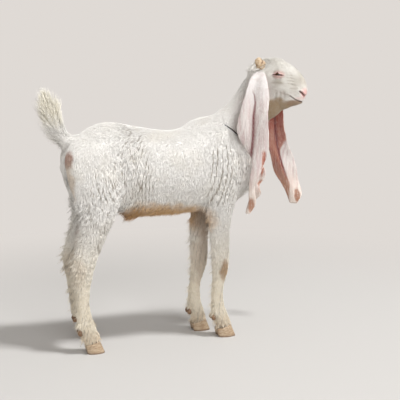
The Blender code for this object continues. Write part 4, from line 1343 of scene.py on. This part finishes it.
def bud(side):
    """A rough horn bud with a dark crack across its front."""
    mesh = sphere("bud", 64, 48)
    ball = places_of(mesh)
    axis = horn_axis(side)
    across = unit(np.cross([0.0, 1.0, 0.0], axis))
    beside = np.cross(axis, across)
    local = ball * np.array([0.0128, 0.0128, 0.0178])
    local[:, :2] *= (1 - 0.22 * ball[:, 2:])
    turn = np.arctan2(ball[:, 1], ball[:, 0])
    lobe = 0.0022 * np.exp(-np.sum((ball - unit(np.array([-0.55, -0.35, 0.75]))) ** 2, axis=1) / 0.25)
    ridges = lobe + 0.0021 * noise(local, 0.0080, 51 + side) + 0.0008 * noise(local, 0.0034, 53 + side)
    slot = np.abs(ball[:, 2] - 0.38 - 0.30 * np.sin(turn + 0.4))
    crack = hump(slot, 0.10) * smoothstep(0.0, 0.6, ball[:, 0])
    local = local + unit(ball) * (ridges - 0.0016 * crack)[:, None]
    spots = local @ np.array([across, beside, axis]) + mirrored((0.008, 0.030, 0.031), side)
    place(mesh, from_head(spots))
    set_values(mesh, "crack", crack)
    return mesh


def rounded(name, grain, passes, ridge=0.0):
    """A CAD node of horn with its facets worn off and its sole kept flat."""
    mesh = mesh_from(name, *welded(name))
    mesh = with_modifier(mesh, "REMESH", mode="VOXEL", voxel_size=grain)
    taubin(mesh, passes)
    places, normals = places_of(mesh), normals_of(mesh)
    sideways = 1 - smoothstep(0.3, 0.8, np.abs(normals[:, 2]))
    bands = ridge * np.sin(2 * math.pi * (places[:, 2] + 0.12 * places[:, 0]) / 0.0042)
    places = places + normals * (bands * sideways)[:, None]
    places[:, 2] = np.where(places[:, 2] < 0.0009, 0.0, places[:, 2])
    place(mesh, places)
    return mesh


def curve_through(points, count):
    """Points evenly spread along a smooth closed curve through the given ones."""
    fine = np.arange(count) / count * len(points)
    low = fine.astype(int)
    part = (fine - low)[:, None]
    before, here, after, later = (points[(low + step) % len(points)] for step in (-1, 0, 1, 2))
    return 0.5 * (2 * here + (after - before) * part + (2 * before - 5 * here + 4 * after - later) * part**2
                  + (3 * here - before - 3 * after + later) * part**3)


def cord_path(tree):
    """The neck cord's line: on the coat beside the ears, and sunk into it elsewhere."""
    middle = np.array(node_middle("collar"))
    spots = welded("collar")[0] - middle
    _, _, axes = np.linalg.svd(spots, full_matrices=False)
    angle = np.arctan2(spots @ axes[1], spots @ axes[0])
    path = []
    for index in range(CORD_POINTS):
        apart_by = np.angle(np.exp(1j * (angle - 2 * math.pi * index / CORD_POINTS)))
        weight = hump(apart_by, 0.09)
        spot = weight @ spots / weight.sum() + middle
        near, upward, _, _ = tree.find_nearest(spot.tolist())
        seen = smoothstep(0.535, 0.552, spot[2]) * smoothstep(0.584, 0.570, spot[2])
        lifted = np.array(near + upward * (0.0058 * seen - 0.0010))
        path.append(lifted + 0.25 * seen * (spot - lifted))
    path = np.array(path)
    for _ in range(6):
        path = 0.5 * path + 0.25 * (np.roll(path, 1, axis=0) + np.roll(path, -1, axis=0))
    return curve_through(path, CORD_RINGS)


def cord_mesh(tree):
    """Three twisted strands round the neck."""
    line = cord_path(tree)
    heading = unit(np.roll(line, -1, axis=0) - np.roll(line, 1, axis=0))
    outward = unit(line - np.array(node_middle("collar")))
    outward = unit(outward - heading * np.sum(outward * heading, axis=1)[:, None])
    aside = np.cross(heading, outward)
    ring = np.arange(CORD_RINGS)
    following = (ring + 1) % CORD_RINGS
    places, faces = [], []
    for strand in range(CORD_STRANDS):
        twist = 2 * math.pi * (ring * CORD_TURNS / CORD_RINGS + strand / CORD_STRANDS)
        center = line + STRAND_OFFSET * (np.cos(twist)[:, None] * outward + np.sin(twist)[:, None] * aside)
        start = strand * CORD_RINGS * CORD_SIDES
        for side in range(CORD_SIDES):
            turn = 2 * math.pi * side / CORD_SIDES
            places.append(center + STRAND_RADIUS * (math.cos(turn) * outward + math.sin(turn) * aside))
            first, second = start + side * CORD_RINGS, start + (side + 1) % CORD_SIDES * CORD_RINGS
            corners = (first + ring, second + ring, second + following, first + following)
            faces.append(np.column_stack(corners))
    return mesh_from("neck_cord", np.concatenate(places), np.concatenate(faces))


# ---------------------------------------------------------------- assembly
def piece(name, mesh, material, replaced):
    mesh.materials.clear()
    mesh.materials.append(material)
    obj = shown(name, mesh)
    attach(obj, "root")
    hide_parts(*replaced)


def nodes_named(*starts):
    return [name for name in frame["nodes"] if name.startswith(starts)]


def ear_values(mesh, owners):
    """For each vertex: 1 on an ear's hollow side, 1 along its rim, 1 on the ears, and each 0 elsewhere."""
    places, normals, edges = places_of(mesh), normals_of(mesh), edges_of(mesh)
    ears = np.isin(owners, EARS)
    faces_in = -np.sign(in_head(places)[:, 1]) * (normals @ HEAD_TURN)[:, 1]
    rim = smoothstep(0.84, 0.55, np.linalg.norm(spread_over(edges, normals, 7), axis=1)) * ears
    rim = rim * smoothstep(0.690, 0.640, places[:, 2])
    inner = smoothstep(0.35, 0.65, spread_over(edges, smoothstep(-0.10, 0.20, faces_in), 25))
    forward, up = np.array(EAR_SPINES["ear_left"]).T
    spine = np.interp(-places[:, 2], -up, forward)
    edge = 0.494 + 1.5 * np.maximum(places[:, 0] - spine, 0)
    turned = (owners == FLESH.index("ear_left")) * smoothstep(0.004, -0.008, places[:, 2] - edge)
    inner = inner * (1 - turned * smoothstep(0.001, 0.004, places[:, 0] - spine))
    inner = np.maximum(inner, ear_lines(places, owners)[1]) * (1 - rim)
    return inner * ears, rim, spread_over(edges, ears.astype(float), 6)


atlas = Atlas(FLESH)
skin = skin_mesh()
owners = atlas.owners(places_of(skin))
# The ears' creases get painted shade
set_values(skin, "crease", ear_lines(places_of(skin), owners)[0])
for label, values in zip(("inner", "rim", "ear"), ear_values(skin, owners)):
    set_values(skin, label, values)
# Painted shade for the face's folds, nostrils, mouth and lid slit
for label, values in zip(("fold", "dark"), face_tints(places_of(skin))):
    set_values(skin, label, values)
skin_tree = BVHTree.FromPolygons(places_of(skin).tolist(), triangles_of(skin).tolist())
skin_map = SkinMap(skin)

tufts = Tufts()
grow_hide(tufts, skin, owners, coat_fields(skin, owners))
grow_lashes(tufts)
grow_horn_fringe(tufts)
data = tufts.finished()
# The tufts carry the painted shade of the face's folds
data["fold"] = face_tints(data["root"])[0]
lines = tuft_lines(data, skin_tree)
tuft_places = skin_map.read(data["root"], skin_map.nearest_faces(data["root"]))
shades = np.clip(PALENESS + PALENESS_SPREAD * RANDOM.standard_normal(len(lines)), 0, 0.8)

hide = hide_group()
coat_look = coat_material(hide)
for index in range(COAT_PIECES):
    part = slice(index, None, COAT_PIECES)
    chosen = {field: values[part] for field, values in data.items()}
    mesh = tuft_mesh(f"coat_{index + 1}", chosen, lines[part], tuft_places[part], shades[part])
    piece(f"coat_{index + 1}", mesh, coat_look, [])

piece("skin", skin, skin_material(hide), FLESH)
piece("eyes", joined("eyes", [eyeball(-1), eyeball(1)]), eye_material(), nodes_named("eye_"))
buds = joined("horn_buds", [bud(-1), bud(1)])
piece("horn_buds", buds, bud_material(), nodes_named("horn_bud_"))
claws = joined("hooves", [rounded(name, 0.0010, 5, 0.00018) for name in nodes_named("hoof_")])
piece("hooves", claws, hoof_material(), nodes_named("hoof_"))
buttons = joined("dewclaws", [rounded(name, 0.0008, 6) for name in nodes_named("dewclaw_")])
piece("dewclaws", buttons, dewclaw_material(), nodes_named("dewclaw_"))
piece("neck_cord", cord_mesh(skin_tree), cord_material(), ["collar"])


# ---------------------------------------------------------------- floor, light, camera
def backdrop():
    """A pale wall all round that lights nothing."""
    mesh = sphere("backdrop", 32, 16)
    place(mesh, places_of(mesh) * WALL_RADIUS)
    look = Look("backdrop")
    look.show(look.glow(BACKDROP))
    mesh.materials.append(look.material)
    wall = shown("backdrop", mesh)
    wall.visible_diffuse = False
    wall.visible_glossy = False
    wall.visible_shadow = False
    return wall


def add_stage():
    mesh = edited(bpy.data.meshes.new("floor"), lambda work: bmesh.ops.create_circle(
        work, cap_ends=True, segments=64, radius=FLOOR_RADIUS))
    mesh.materials.append(floor_material())
    shown("floor", mesh, smooth=False)
    backdrop()
    world = bpy.data.worlds.new("studio")
    world.use_nodes = True
    sky = {"Color": (*BACKDROP, 1.0), "Strength": WORLD_STRENGTH}
    Nodes(world.node_tree).fill(world.node_tree.nodes["Background"], sky)
    bpy.context.scene.world = world


def add_light(name, toward, distance, size, power):
    """A square soft light that shines at the goat's middle."""
    light = bpy.data.lights.new(name, "AREA")
    light.size = size
    light.energy = power
    obj = shown(name, light, smooth=False)
    way = Vector(toward).normalized()
    obj.location = Vector((0.0, 0.0, 0.35)) + way * distance
    obj.rotation_euler = way.to_track_quat("Z", "Y").to_euler()
    obj.visible_camera = False


def add_camera():
    camera = bpy.data.cameras.new("camera")
    camera.sensor_width = 36.0
    camera.lens = CAMERA_LENS
    obj = shown("camera", camera, smooth=False)
    obj.location = CAMERA_PLACE
    obj.rotation_euler = (math.radians(90 + CAMERA_PITCH), 0.0, math.radians(CAMERA_YAW))
    bpy.context.scene.camera = obj


add_stage()
for name, values in LIGHTS.items():
    add_light(name, *values)
add_camera()
bpy.context.scene.view_settings.view_transform = "Standard"
